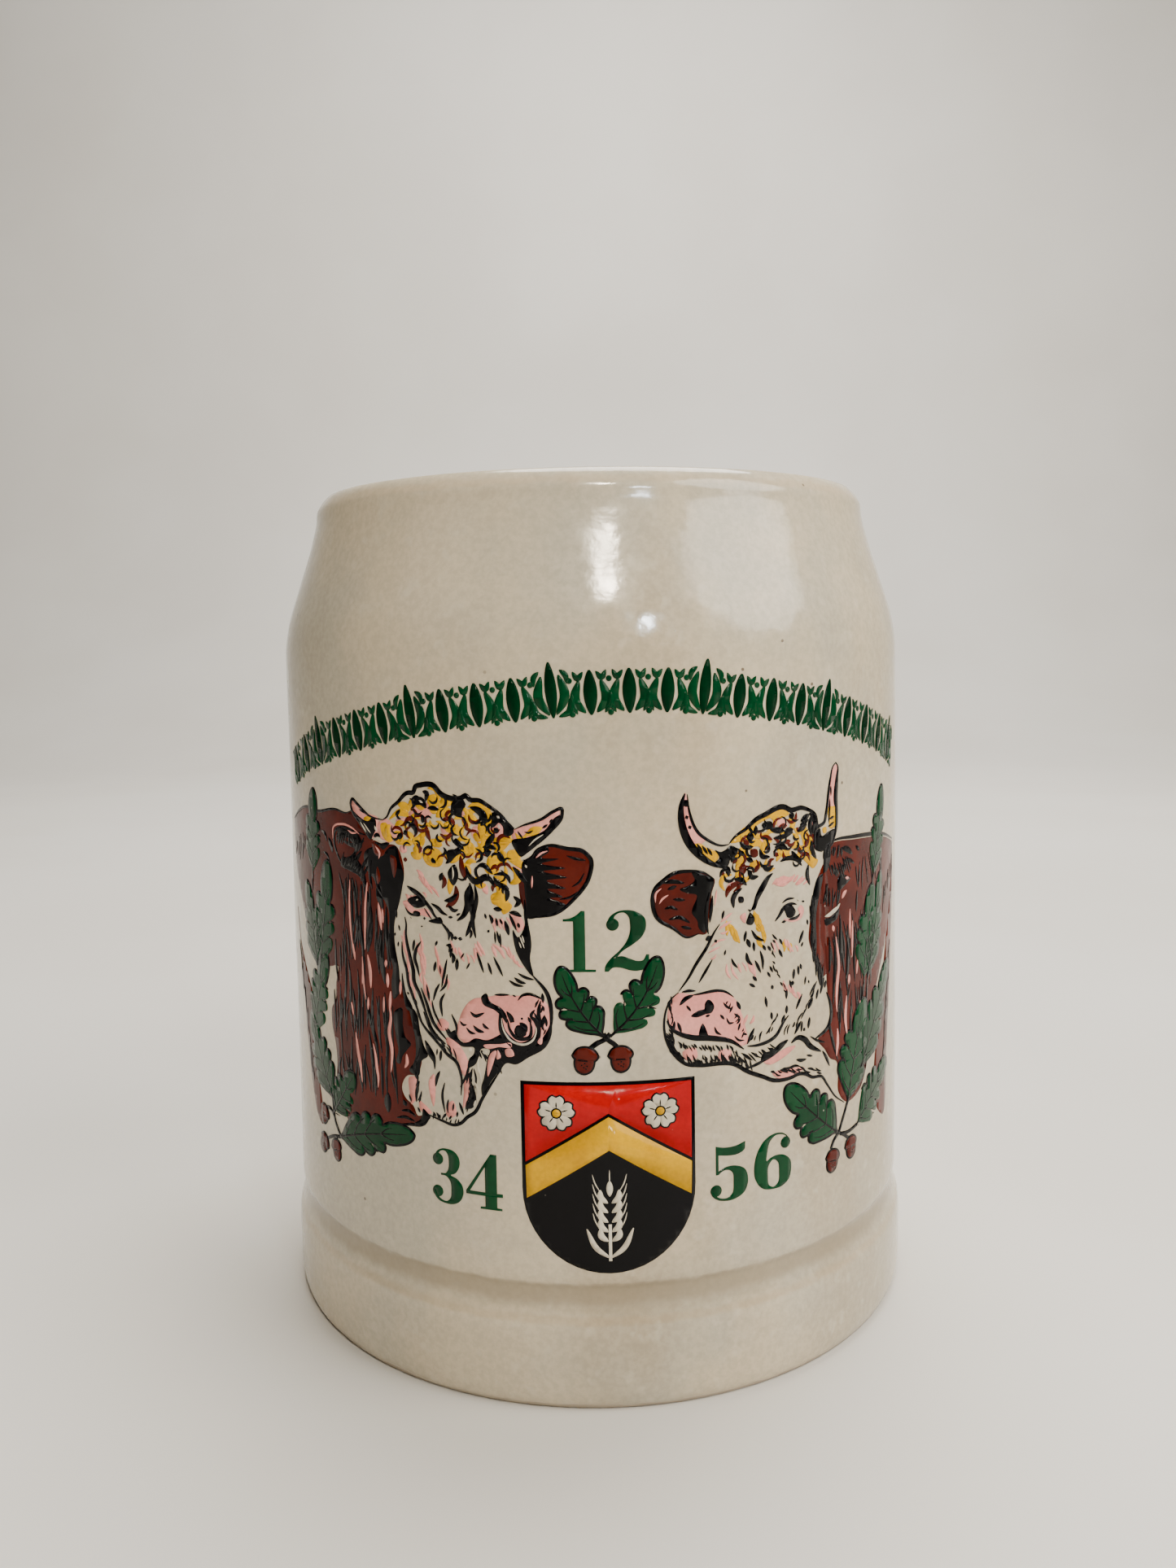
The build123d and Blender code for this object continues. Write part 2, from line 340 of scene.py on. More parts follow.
@dataclass
class Motif:
    """One motif of the print: its areas by ink, turned into one thin closed film for each ink.

    Its name starts its pieces' names and its node's name. The pen says how heavy its strokes are, as a
    share of their drawn widths. Its points are measured from the place that it is drawn about.
    """

    name: str
    pen: float = 1.0
    about: Point = (0.0, 0.0)
    areas: dict[Ink, list[Shape]] = field(default_factory=dict)

    def draw(self) -> None:
        """Prints the motif's areas. Each kind of motif has its own."""
        raise NotImplementedError

    def area(self, ink: Ink, outline: Sequence[Point], holes: Sequence[Sequence[Point]] = (),
             level: int | None = None) -> None:
        """Prints a closed area.

        Args:
            ink: its colour.
            outline: its edge.
            holes: the edges of what is left bare within it.
            level: the level it prints at, if not the ink's own.
        """
        rings = [[(x + self.about[0], y + self.about[1]) for x, y in ring] for ring in (outline, *holes)]
        shape = Shape(rings[0], rings[1:], ink.level if level is None else level)
        self.areas.setdefault(ink, []).append(shape)

    def line(self, ink: Ink, text: str | Sequence[Point], width: float, tip: Tip = Tip.THIN_BOTH,
             level: int | None = None) -> None:
        """Prints a pen or brush stroke through points.

        Args:
            ink: the stroke's colour.
            text: the points, written out or as pairs.
            width: its greatest width.
            tip: how it ends.
            level: the level it prints at, if not the ink's own.
        """
        points = path(text) if isinstance(text, str) else list(text)
        self.area(ink, stroke_outline(points, width, tip), level=level)

    def strokes(self, ink: Ink, text: str, level: int | None = None) -> None:
        """Prints strokes written as "width: arc height, arc height; width: arc height, arc height".

        Args:
            ink: the strokes' colour.
            text: the strokes.
            level: the level they print at, if not the ink's own.
        """
        for stroke in text.split(";"):
            width, _, points = stroke.partition(":")
            self.line(ink, points, self.pen * float(width), level=level)

    def patches(self, ink: Ink, text: str, level: int | None = None) -> None:
        """Prints smooth closed areas written as "arc height, arc height, arc height; arc height, ..."."""
        for outline in text.split(";"):
            self.area(ink, smooth(path(outline)), level=level)

    def hatch(self, ink: Ink, seed: int, rows: str, bow: float = 0.15) -> None:
        """Prints rows of short hairs, written as "lean length width gap:arc height,arc height;...".

        A row's hairs stand along its points, at about that gap. They lean by so many degrees from the
        positive arc direction.

        Args:
            ink: the hairs' colour.
            seed: starts the first row's own random draws. Each row after it has the next number.
            rows: the rows.
            bow: how much a hair curves, as a share of its length.
        """
        for n, row in enumerate(rows.split(";")):
            sizes, _, along = row.partition(":")
            lean, length, width, gap = (float(size) for size in sizes.split())
            draw = random.Random(seed + n)
            travelled, due = 0.0, 0.0
            line = smooth(path(along), closed=False, step=0.2)
            for (ax, ay), (bx, by) in zip(line, line[1:]):
                travelled += hypot(bx - ax, by - ay)
                if travelled < due:
                    continue
                due += gap * draw.uniform(0.6, 1.4)
                turn = radians(lean + draw.uniform(-14, 14))
                half = 0.5 * length * draw.uniform(0.6, 1.3)
                side = draw.uniform(-1, 1) * bow * length
                x, y = bx + draw.uniform(-0.25, 0.25), by + draw.uniform(-0.25, 0.25)
                hair = [(-half, 0), (0, side), (half, 0)]
                self.line(ink, moved(hair, (x, y), turn), width * draw.uniform(0.7, 1.3))

    def curls(self, ink: Ink, region: str, size: float, width: float, gap: float, seed: int,
              level: int | None = None) -> None:
        """Scatters short curls of hair over a region.

        Args:
            ink: the curls' colour.
            region: outline of the region.
            size: a curl's usual length.
            width: its usual width.
            gap: the usual distance from one curl to the next.
            seed: starts the region's own random draws.
            level: the level it prints at, if not the ink's own.
        """
        draw = random.Random(seed)
        outline = path(region)
        arcs, heights = zip(*outline)
        across, up = int((max(arcs) - min(arcs)) / gap), int((max(heights) - min(heights)) / gap)
        for i in range((across + 1) * (up + 1)):
            column, row = i % (across + 1), i // (across + 1)
            place = (min(arcs) + (column + draw.uniform(0.1, 0.9)) * gap,
                     min(heights) + (row + draw.uniform(0.1, 0.9)) * gap)
            curl = moved(path("-.5 -.22,-.25 .2,.2 .24,.5 -.15"), place, draw.uniform(0, 2 * pi),
                         size * draw.uniform(0.7, 1.3))
            if inside(place, outline):
                self.line(ink, curl, width * draw.uniform(0.7, 1.3), level=level)

    def build(self) -> list[Piece]:
        """Draws the motif, then makes, dresses and declares one piece for each ink.

        Returns:
            The pieces.
        """
        self.draw()
        pieces = []
        for ink, shapes in self.areas.items():
            piece = film_object(f"{self.name}_{ink.name.lower()}", shapes)
            piece.data.materials.append(ENAMELS[ink].material())
            declare(piece, ink.slot, f"{self.name}_print")
            pieces.append(piece)
        return pieces


def film_object(name: str, shapes: Sequence[Shape]) -> Piece:
    """Wraps printed areas on the wall as thin closed films.

    Args:
        name: name of the new object.
        shapes: the areas.

    Returns:
        The object, linked to the scene.
    """
    points: list[Vector] = []
    faces: list[tuple[int, ...]] = []
    for shape in shapes:
        flat = bmesh.new()
        rings = [[flat.verts.new((x, z, 0)) for x, z in ring] for ring in [shape.outline, *shape.holes]]
        every = [vert for ring in rings for vert in ring]
        for corners in tessellate_polygon([[vert.co for vert in ring] for ring in rings]):
            try:
                flat.faces.new([every[i] for i in corners])
            except ValueError:
                continue
        cut_strips(flat)
        add_closed_film(flat, shape.level, points, faces)
        flat.free()
    mesh = bpy.data.meshes.new(name)
    mesh.from_pydata(points, [], faces)
    mesh.validate()
    mesh.shade_smooth()
    return link(bpy.data.objects.new(name, mesh))


def cut_strips(flat: bmesh.types.BMesh) -> None:
    """Cuts a flat area along upright lines, close enough together for it to bend round the wall.

    Args:
        flat: the area, which is changed.
    """
    arcs = [vert.co.x for vert in flat.verts]
    first, last = ceil(min(arcs) / WALL.strip), int(max(arcs) // WALL.strip)
    for n in range(first, last + 1):
        geometry = flat.verts[:] + flat.edges[:] + flat.faces[:]
        place = (n * WALL.strip, 0, 0)
        bmesh.ops.bisect_plane(flat, geom=geometry, dist=1e-5, plane_co=place, plane_no=(1, 0, 0))


def add_closed_film(flat: bmesh.types.BMesh, level: int, points: list[Vector],
                    faces: list[tuple[int, ...]]) -> None:
    """Adds a flat area's face, back and edges to a list of points and faces, wrapped on the wall.

    Args:
        flat: the area.
        level: its level in the stack of inks.
        points: the list that the points go to.
        faces: the list that the faces go to.
    """
    lift = WALL.first_lift + WALL.lift_step * level
    flat.normal_update()
    flat.verts.index_update()
    start, count = len(points), len(flat.verts)
    points.extend(WALL.place(vert.co.x, vert.co.y, lift) for vert in flat.verts)
    points.extend(WALL.place(vert.co.x, vert.co.y, -WALL.sunk) for vert in flat.verts)
    for face in flat.faces:
        ring = [start + vert.index for vert in face.verts]
        if face.normal.z < 0:
            ring.reverse()
        faces.append(tuple(ring))
        faces.append(tuple(i + count for i in reversed(ring)))
    for edge in flat.edges:
        if len(edge.link_faces) != 1:
            continue
        a, b = edge.verts
        loop = next(l for l in edge.link_faces[0].loops if l.edge == edge)
        first = loop.vert
        second = b if first == a else a
        if edge.link_faces[0].normal.z < 0:
            first, second = second, first
        i, j = start + first.index, start + second.index
        faces.append((j, i, i + count, j + count))


# ---- finishes ------------------------------------------------------------------------------
class Nodes:
    """Short ways to add and join the nodes of one material."""

    def __init__(self, name: str) -> None:
        """Starts a material with a shader and an output.

        Args:
            name: the material's name.
        """
        self.material = bpy.data.materials.new(name)
        self.material.use_nodes = True
        self.tree = self.material.node_tree
        self.shader = self.tree.nodes["Principled BSDF"]
        self.place = self.add("ShaderNodeTexCoord").outputs["Object"]

    def add(self, kind: str, **settings: object) -> bpy.types.Node:
        """Adds a node with some of its settings.

        Args:
            kind: Blender's name for the kind of node.
            settings: the settings.

        Returns:
            The node.
        """
        node = self.tree.nodes.new(kind)
        for key, value in settings.items():
            setattr(node, key, value)
        return node

    def join(self, source: object, target: Socket) -> None:
        """Joins a node's output to an input, or sets the input to a plain value.

        Args:
            source: the output or the value.
            target: the input.
        """
        if isinstance(source, Socket):
            self.tree.links.new(source, target)
        else:
            target.default_value = source

    def noise(self, scale: float, detail: float = 2.0, rough: float = 0.5,
              stretch: Triple | None = None) -> Socket:
        """A cloudy pattern, in features to the metre.

        Args:
            scale: how many features there are to a metre.
            detail: how many finer layers it has.
            rough: how strong the finer layers are.
            stretch: how the pattern is scaled along each axis, if at all.

        Returns:
            The pattern, from 0 to 1.
        """
        node = self.add("ShaderNodeTexNoise")
        node.inputs["Scale"].default_value = scale
        node.inputs["Detail"].default_value = detail
        node.inputs["Roughness"].default_value = rough
        source = self.place
        if stretch:
            mapping = self.add("ShaderNodeMapping")
            mapping.inputs["Scale"].default_value = stretch
            self.join(source, mapping.inputs["Vector"])
            source = mapping.outputs["Vector"]
        self.join(source, node.inputs["Vector"])
        return node.outputs["Fac"]

    def range(self, source: Socket, low: float, high: float,
              to_low: float = 0.0, to_high: float = 1.0) -> Socket:
        """Maps a value smoothly from one range to another, held at its ends.

        Args:
            source: the value.
            low: start of its range.
            high: end of its range.
            to_low: what the start becomes.
            to_high: what the end becomes.

        Returns:
            The mapped value.
        """
        node = self.add("ShaderNodeMapRange", interpolation_type="SMOOTHSTEP")
        for key, value in (("From Min", low), ("From Max", high), ("To Min", to_low), ("To Max", to_high)):
            node.inputs[key].default_value = value
        self.join(source, node.inputs["Value"])
        return node.outputs["Result"]

    def maths(self, operation: str, *sources: object) -> Socket:
        """Does arithmetic on values.

        Args:
            operation: the kind of arithmetic.
            sources: what it is done on.

        Returns:
            The result.
        """
        node = self.add("ShaderNodeMath", operation=operation)
        for socket, source in zip(node.inputs, sources):
            self.join(source, socket)
        return node.outputs[0]

    def blend(self, share: object, first: object, second: object, kind: str = "MIX") -> Socket:
        """Blends two colours.

        Args:
            share: how much of the second colour there is.
            first: the first colour.
            second: the second colour.
            kind: the way that they are blended.

        Returns:
            The blended colour.
        """
        node = self.add("ShaderNodeMix", data_type="RGBA", blend_type=kind)
        self.join(share, node.inputs[0])
        self.join(first, node.inputs[6])
        self.join(second, node.inputs[7])
        return node.outputs[2]

    def dots(self, scale: float, size: float, share: float) -> Socket:
        """Scattered round dots: one cell in some holds a dot, and its size is a share of the cell.

        Args:
            scale: how many cells there are to a metre.
            size: a dot's radius, as a share of a cell.
            share: the share of cells that hold a dot.

        Returns:
            A value of 1 in a dot and 0 elsewhere.
        """
        cells = self.add("ShaderNodeTexVoronoi")
        cells.inputs["Scale"].default_value = scale
        self.join(self.place, cells.inputs["Vector"])
        near = self.range(cells.outputs["Distance"], size * 0.55, size, 1.0, 0.0)
        split = self.add("ShaderNodeSeparateColor")
        self.join(cells.outputs["Color"], split.inputs[0])
        chosen = self.range(split.outputs[0], share, share + 0.02, 1.0, 0.0)
        return self.maths("MULTIPLY", near, chosen)

    def height(self) -> Socket:
        """Height above the table, in metres.

        Returns:
            The height.
        """
        split = self.add("ShaderNodeSeparateXYZ")
        self.join(self.place, split.inputs[0])
        return split.outputs[2]

    def radius(self) -> Socket:
        """Distance from the mug's axis, in metres.

        Returns:
            The distance.
        """
        flat = self.add("ShaderNodeVectorMath", operation="MULTIPLY")
        self.join(self.place, flat.inputs[0])
        flat.inputs[1].default_value = (1.0, 1.0, 0.0)
        length = self.add("ShaderNodeVectorMath", operation="LENGTH")
        self.join(flat.outputs[0], length.inputs[0])
        return length.outputs["Value"]

    def bump(self, source: Socket, depth: float, under: Socket | None = None) -> Socket:
        """Relief from a value, that many metres deep.

        Args:
            source: the value.
            depth: how far the relief rises, in metres.
            under: relief that this lies on.

        Returns:
            The relief.
        """
        node = self.add("ShaderNodeBump")
        node.inputs["Distance"].default_value = depth
        node.inputs["Strength"].default_value = 1.0
        self.join(source, node.inputs["Height"])
        if under is not None:
            self.join(under, node.inputs["Normal"])
        return node.outputs["Normal"]


def colour(code: str) -> tuple[float, float, float, float]:
    """A colour as Blender's linear values, from six hexadecimal digits.

    Args:
        code: the digits.

    Returns:
        The linear red, green and blue, and full cover.
    """
    parts = [int(code[i:i + 2], 16) / 255 for i in (0, 2, 4)]
    linear = [v / 12.92 if v <= 0.04045 else ((v + 0.055) / 1.055) ** 2.4 for v in parts]
    return (*linear, 1.0)


@dataclass(frozen=True)
class StonewareGlaze:
    """Clear salt-grey glaze over cream stoneware, mottled and lightly specked, bare under the foot."""

    cream: str = "c9bba0"
    grey: str = "b9b09c"
    stain: str = "9c8763"
    clay: str = "a89a86"
    speck: str = "4a3a2c"
    gloss: float = 0.13
    bare_below: float = 0.0007
    # Painted shade: the darker tone laid in the recessed cove above the foot band.
    cove_shade: str = "7d6d50"
    break_heights: tuple[float, ...] = (0.1218, 0.0127)
    cove_shade_heights: tuple[float, float] = (0.0133, 0.0179)
    inside_radius: float = 0.045

    def material(self) -> bpy.types.Material:
        """Builds the glaze.

        Returns:
            The material, which is made only once.
        """
        known = bpy.data.materials.get("stoneware_glaze_finish")
        if known:
            return known
        n = Nodes("stoneware_glaze_finish")
        clouds = n.range(n.noise(38, 4, 0.55), 0.36, 0.64)
        base = n.blend(clouds, colour(self.cream), colour(self.grey))
        stained = n.range(n.noise(17, 4, 0.62, stretch=(1, 1, 0.45)), 0.46, 0.74, 0.0, 0.6)
        base = n.blend(stained, base, colour(self.stain))
        grain = n.range(n.noise(1100, 3, 0.6), 0.3, 0.7, 0.90, 1.05)
        base = n.blend(1.0, base, grain, "MULTIPLY")
        pale = n.range(n.noise(420, 2, 0.5), 0.58, 0.75, 0.0, 0.35)
        base = n.blend(pale, base, colour("d2c8b2"))
        fine = n.dots(210, 0.062, 0.20)
        bold = n.dots(75, 0.036, 0.3)
        specks = n.maths("MAXIMUM", fine, bold)
        base = n.blend(n.maths("MULTIPLY", specks, 0.8), base, colour(self.speck))
        height = n.height()
        waver = n.maths("MULTIPLY", n.maths("SUBTRACT", n.noise(260, 3), 0.5), 0.0012)
        ragged = n.maths("ADD", height, waver)
        for place in self.break_heights:
            off = n.maths("ABSOLUTE", n.maths("SUBTRACT", ragged, place))
            thin = n.range(off, 0.00015, 0.0008, 0.22, 0.0)
            base = n.blend(thin, base, colour("b79c76"))
        # Painted shade: darkens the cove above the foot band, on the outside only, where the recess is in
        # shade.
        low, high = self.cove_shade_heights
        above = n.range(ragged, low, low + 0.0022)
        below = n.range(ragged, high - 0.0009, high, 1.0, 0.0)
        cove_shade = n.maths("MULTIPLY", above, below)
        cove_shade = n.maths("MULTIPLY", cove_shade, n.range(n.radius(), self.inside_radius, self.inside_radius + 0.001))
        base = n.blend(n.maths("MULTIPLY", cove_shade, 0.6), base, colour(self.cove_shade))
        bare = n.range(ragged, self.bare_below, self.bare_below + 0.0005, 1.0, 0.0)
        base = n.blend(bare, base, colour(self.clay))
        n.join(base, n.shader.inputs["Base Color"])
        gloss = n.range(n.noise(300, 2), 0.3, 0.7, self.gloss - 0.03, self.gloss + 0.05)
        rough = n.maths("ADD", gloss, n.maths("MULTIPLY", bare, 0.6))
        n.join(rough, n.shader.inputs["Roughness"])
        n.shader.inputs["IOR"].default_value = 1.52
        wave = n.bump(n.noise(170, 2), 0.00012)
        peel = n.bump(n.noise(700, 2), 0.00002, wave)
        pits = n.bump(n.maths("MULTIPLY", specks, -1.0), 0.00003, peel)
        n.join(pits, n.shader.inputs["Normal"])
        return n.material


@dataclass(frozen=True)
class Enamel:
    """A fired-on printed colour, a little uneven, with pinholes where the glaze shows."""

    name: str
    tone: str
    deep: str
    rough: float = 0.16
    pinholes: float = 0.35

    def material(self) -> bpy.types.Material:
        """Builds the enamel.

        Returns:
            The material, which is made only once.
        """
        known = bpy.data.materials.get(f"{self.name}_finish")
        if known:
            return known
        n = Nodes(f"{self.name}_finish")
        base = n.blend(n.range(n.noise(160, 3), 0.35, 0.68), colour(self.tone), colour(self.deep))
        grain = n.range(n.noise(1900, 2), 0.3, 0.7, 0.93, 1.05)
        base = n.blend(1.0, base, grain, "MULTIPLY")
        holes = n.dots(420, 0.07, 0.16)
        base = n.blend(n.maths("MULTIPLY", holes, self.pinholes), base, colour("c9c1b2"))
        n.join(base, n.shader.inputs["Base Color"])
        n.join(n.range(n.noise(500, 2), 0.3, 0.7, self.rough - 0.04, self.rough + 0.06),
               n.shader.inputs["Roughness"])
        n.shader.inputs["IOR"].default_value = 1.3
        n.shader.inputs["Specular IOR Level"].default_value = 0.3
        wave = n.bump(n.noise(170, 2), 0.00012)
        n.join(n.bump(n.noise(1400, 2), 0.00001, wave), n.shader.inputs["Normal"])
        return n.material


ENAMELS: dict[Ink, Enamel] = {
    Ink.YELLOW: Enamel("yellow_enamel", "dba500", "c99300"),
    Ink.BROWN: Enamel("brown_enamel", "56170b", "421008"),
    Ink.PINK: Enamel("pink_enamel", "e39a90", "da8c82"),
    Ink.RED: Enamel("red_enamel", "bd0710", "a8050e"),
    Ink.WHITE: Enamel("white_enamel", "cbc1ad", "beb49f"),
    Ink.GREEN: Enamel("green_enamel", "023c1e", "013018"),
    Ink.BLACK: Enamel("black_enamel", "060508", "030304", pinholes=0.12),
}


@dataclass(frozen=True)
class PaleFloor:
    """The plain pale table and backdrop."""

    tone: str = "d8d4cc"

    def material(self) -> bpy.types.Material:
        """Builds the floor's finish.

        Returns:
            The material.
        """
        n = Nodes("pale_floor_finish")
        base = n.blend(n.range(n.noise(6, 3), 0.3, 0.7), colour(self.tone), colour("dedbd4"))
        n.join(base, n.shader.inputs["Base Color"])
        n.shader.inputs["Roughness"].default_value = 0.5
        return n.material


# ---- objects -------------------------------------------------------------------------------
def link(piece: Piece) -> Piece:
    """Puts an object in the scene."""
    bpy.context.scene.collection.objects.link(piece)
    return piece


def declare(piece: Piece, slot: str, *nodes: str) -> None:
    """Hangs a piece on the root body and hides the nodes that it stands for.

    Args:
        piece: the piece.
        slot: name of its material slot; not used.
        nodes: the nodes it stands for.
    """
    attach(piece, ROOT_BODY)
    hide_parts(*nodes)


def grid_object(name: str, rings: Sequence[Sequence[Vector]], around: bool = True,
                capped: bool = False) -> Piece:
    """A smooth surface through rings of points.

    Args:
        name: name of the new object.
        rings: the rings, all with the same number of points.
        around: whether each ring closes on itself.
        capped: whether the first and last rings are filled.

    Returns:
        The object, linked to the scene.
    """
    count = len(rings[0])
    points = [point for ring in rings for point in ring]
    faces = []
    for i in range(len(rings) - 1):
        for j in range(count if around else count - 1):
            k = (j + 1) % count
            faces.append((i * count + j, i * count + k, (i + 1) * count + k, (i + 1) * count + j))
    if capped:
        faces.append(tuple(reversed(range(count))))
        faces.append(tuple(range(len(points) - count, len(points))))
    mesh = bpy.data.meshes.new(name)
    mesh.from_pydata(points, [], faces)
    mesh.validate()
    mesh.shade_smooth()
    return link(bpy.data.objects.new(name, mesh))


# ---- clay ----------------------------------------------------------------------------------
@dataclass
class StoneBody:
    """The jiggered body, turned as one profile. Profile points are (radius, height) in millimetres."""

    node: str = "body"
    around: int = 288
    even_within: float = 30.0
    even_below: float = 3.0
    foot: str = "42 0*,48.2 0*,48.9 .3,49.4 1.1,49.68 2.4,49.72 4.2,49.7 8,49.66 10.9,49.53 12"
    cove: str = "49.2 12.95,48.86 13.9,48.6 15.2,48.46 16.6,48.5 17.2,48.74 17.55,48.92 17.95"
    shoulder: str = "47.93 100.6,47.3 104.3,45.35 110.4,43.4 116.5,42.62 119.8"
    lip: str = "42.5 121.1,42.1 121.85,41.5 122.7,40.95 123.25,40.1 123.5,39 123.2,38.1 122.2,37.65 120.4"
    inside: str = "37.6 119.5,39.9 109.3,42.2 98,43.15 17.2*"
    corner: str = "42.46 13.8,40.5 10.85,37.6 8.9,34.15 8.2*,20 8.15,0 8.1"
    underside: str = "0 2.2,39.6 2.2,40.5 1.9,40.95 1.2,41.3 .4,42 0"

    def profile(self) -> list[Point]:
        """The whole closed profile, from the foot ring up the outside, over the lip and down the inside.

        Returns:
            Its points, as (radius, height).
        """
        wall = [(WALL.radius(z), z) for z in (18.6, 20, 36, 52, 68, 84, 97, 98.6)]
        clay = (path(f"{self.foot},{self.cove}") + wall
                + path(f"{self.shoulder},{self.lip},{self.inside},{self.corner}"))
        return smooth(clay, closed=False, step=0.8) + smooth(path(self.underside), closed=False, step=0.8)

    def build(self) -> Piece:
        """Turns the body and glazes it.

        Returns:
            The body.
        """
        rings = []
        for radius, z in self.profile():
            ring = []
            for i in range(self.around):
                turn = 2 * pi * i / self.around
                stray = (WALL.unevenness(turn, z) * min(1.0, radius / self.even_within)
                         * min(1.0, z / self.even_below))
                r = max(radius + stray, 0.0) if radius > 0 else 0.0
                ring.append(Vector((r * sin(turn), -r * cos(turn), z)) * MM)
            rings.append(ring)
        body = grid_object("stoneware_body", rings)
        weld(body)
        body.data.materials.append(StonewareGlaze().material())
        declare(body, "stoneware_glaze", self.node)
        return body


def weld(piece: Piece) -> None:
    """Merges a mesh's doubled points and makes its faces look outwards.

    Args:
        piece: the object, which is changed.
    """
    work = bmesh.new()
    work.from_mesh(piece.data)
    bmesh.ops.remove_doubles(work, verts=work.verts, dist=SAME_POINT)
    bmesh.ops.dissolve_degenerate(work, edges=work.edges, dist=SAME_POINT / 10)
    bmesh.ops.recalc_face_normals(work, faces=work.faces)
    work.to_mesh(piece.data)
    work.free()
    piece.data.shade_smooth()


@dataclass
class StrapHandle:
    """The ear-shaped handle and its two collars of slip. Sizes are in millimetres."""

    line: str = "45 98,71.5 96.6,84.75 76.5,77.4 51.5,62 34.8,45.9 28.6"
    leave_slope: float = 0.16
    arrive_slope: float = 0.22
    width: float = 19.0
    thickness: float = 11.5
    leave_length: float = 7.0
    arrive_length: float = 6.0
    taper: float = 0.82
    squareness: float = 2.5
    dish: float = 0.9
    collar_reach: float = 11.5
    collar_flare: float = 3.6
    collar_curve: float = 2.4
    collar_edge: float = 0.02
    collar_depth: float = 0.4
    around: int = 56
    along: int = 110

    def middle(self) -> list[Point]:
        """Evenly spread points of the handle's middle line, as (distance back from the axis, height).

        Returns:
            The points.
        """
        knots = path(self.line)
        first, last = knots[0], knots[-1]
        knots.insert(1, (first[0] + self.leave_length, first[1] + self.leave_length * self.leave_slope))
        knots.insert(-1, (last[0] + self.arrive_length, last[1] + self.arrive_length * self.arrive_slope))
        fine = smooth(knots, closed=False, step=0.25)
        reach = [0.0]
        for a, b in zip(fine, fine[1:]):
            reach.append(reach[-1] + hypot(b[0] - a[0], b[1] - a[1]))
        spread, j = [], 0
        for i in range(self.along + 1):
            want = reach[-1] * i / self.along
            while j < len(reach) - 2 and reach[j + 1] < want:
                j += 1
            t = (want - reach[j]) / (reach[j + 1] - reach[j])
            spread.append(tuple(fine[j][k] + t * (fine[j + 1][k] - fine[j][k]) for k in (0, 1)))
        return spread

    def ring(self, middle: Sequence[Point], i: int, grown: float = 0.0) -> list[Vector]:
        """One ring of the strap, square to its middle line.

        Args:
            middle: the middle line's points.
            i: which of them the ring lies at.
            grown: how far the ring stands out beyond the strap.

        Returns:
            The ring's points, in metres.
        """
        y, z = middle[i]
        ay, az = middle[max(i - 1, 0)]
        by, bz = middle[min(i + 1, len(middle) - 1)]
        run = hypot(by - ay, bz - az)
        out_y, out_z = -(bz - az) / run, (by - ay) / run
        share = i / (len(middle) - 1)
        size = 1 - (1 - self.taper) * share
        half_wide, half_thick = 0.5 * self.width * size + grown, 0.5 * self.thickness * size + grown
        points = []
        for n in range(self.around):
            turn = 2 * pi * n / self.around
            c, s = cos(turn), sin(turn)
            x = half_wide * abs(c) ** (2 / self.squareness) * (1 if c > 0 else -1)
            w = half_thick * abs(s) ** (2 / self.squareness) * (1 if s > 0 else -1)
            dish = self.dish * (1 - (x / half_wide) ** 2) if s > 0 else 0.0
            w -= dish * sin(pi * share)
            points.append(Vector((x, y + w * out_y, z + w * out_z)) * MM)
        return points

    def build(self) -> list[Piece]:
        """Makes the strap and both collars, and glazes them.

        Returns:
            The strap, then the upper and the lower collar.
        """
        middle = self.middle()
        strap = grid_object("strap_handle", [self.ring(middle, i) for i in range(len(middle))], capped=True)
        step = hypot(middle[1][0] - middle[0][0], middle[1][1] - middle[0][1])
        count = ceil(self.collar_reach / step)
        pieces = [(strap, "handle")]
        for name, upper in (("upper_collar", True), ("lower_collar", False)):
            stations = [k if upper else len(middle) - 1 - k for k in range(count + 1)]
            outer = []
            for k, i in enumerate(stations):
                flare = self.collar_flare * (1 - k / count) ** self.collar_curve
                outer.append(self.ring(middle, i, flare + self.collar_edge))
            inner = [self.ring(middle, i, -self.collar_depth) for i in reversed(stations)]
            collar = grid_object(name, outer + inner + [outer[0]])
            pieces.append((collar, "upper_lute" if upper else "lower_lute"))
        for piece, node in pieces:
            weld(piece)
            piece.data.materials.append(StonewareGlaze().material())
            declare(piece, "stoneware_glaze", node)
        return [piece for piece, _ in pieces]


# ---- oak leaves and acorns -----------------------------------------------------------------
class Over(IntEnum):
    """Levels of the leaf sprays, which print over the cattle."""

    EDGE = 7
    FILL = 8
    VEIN = 9


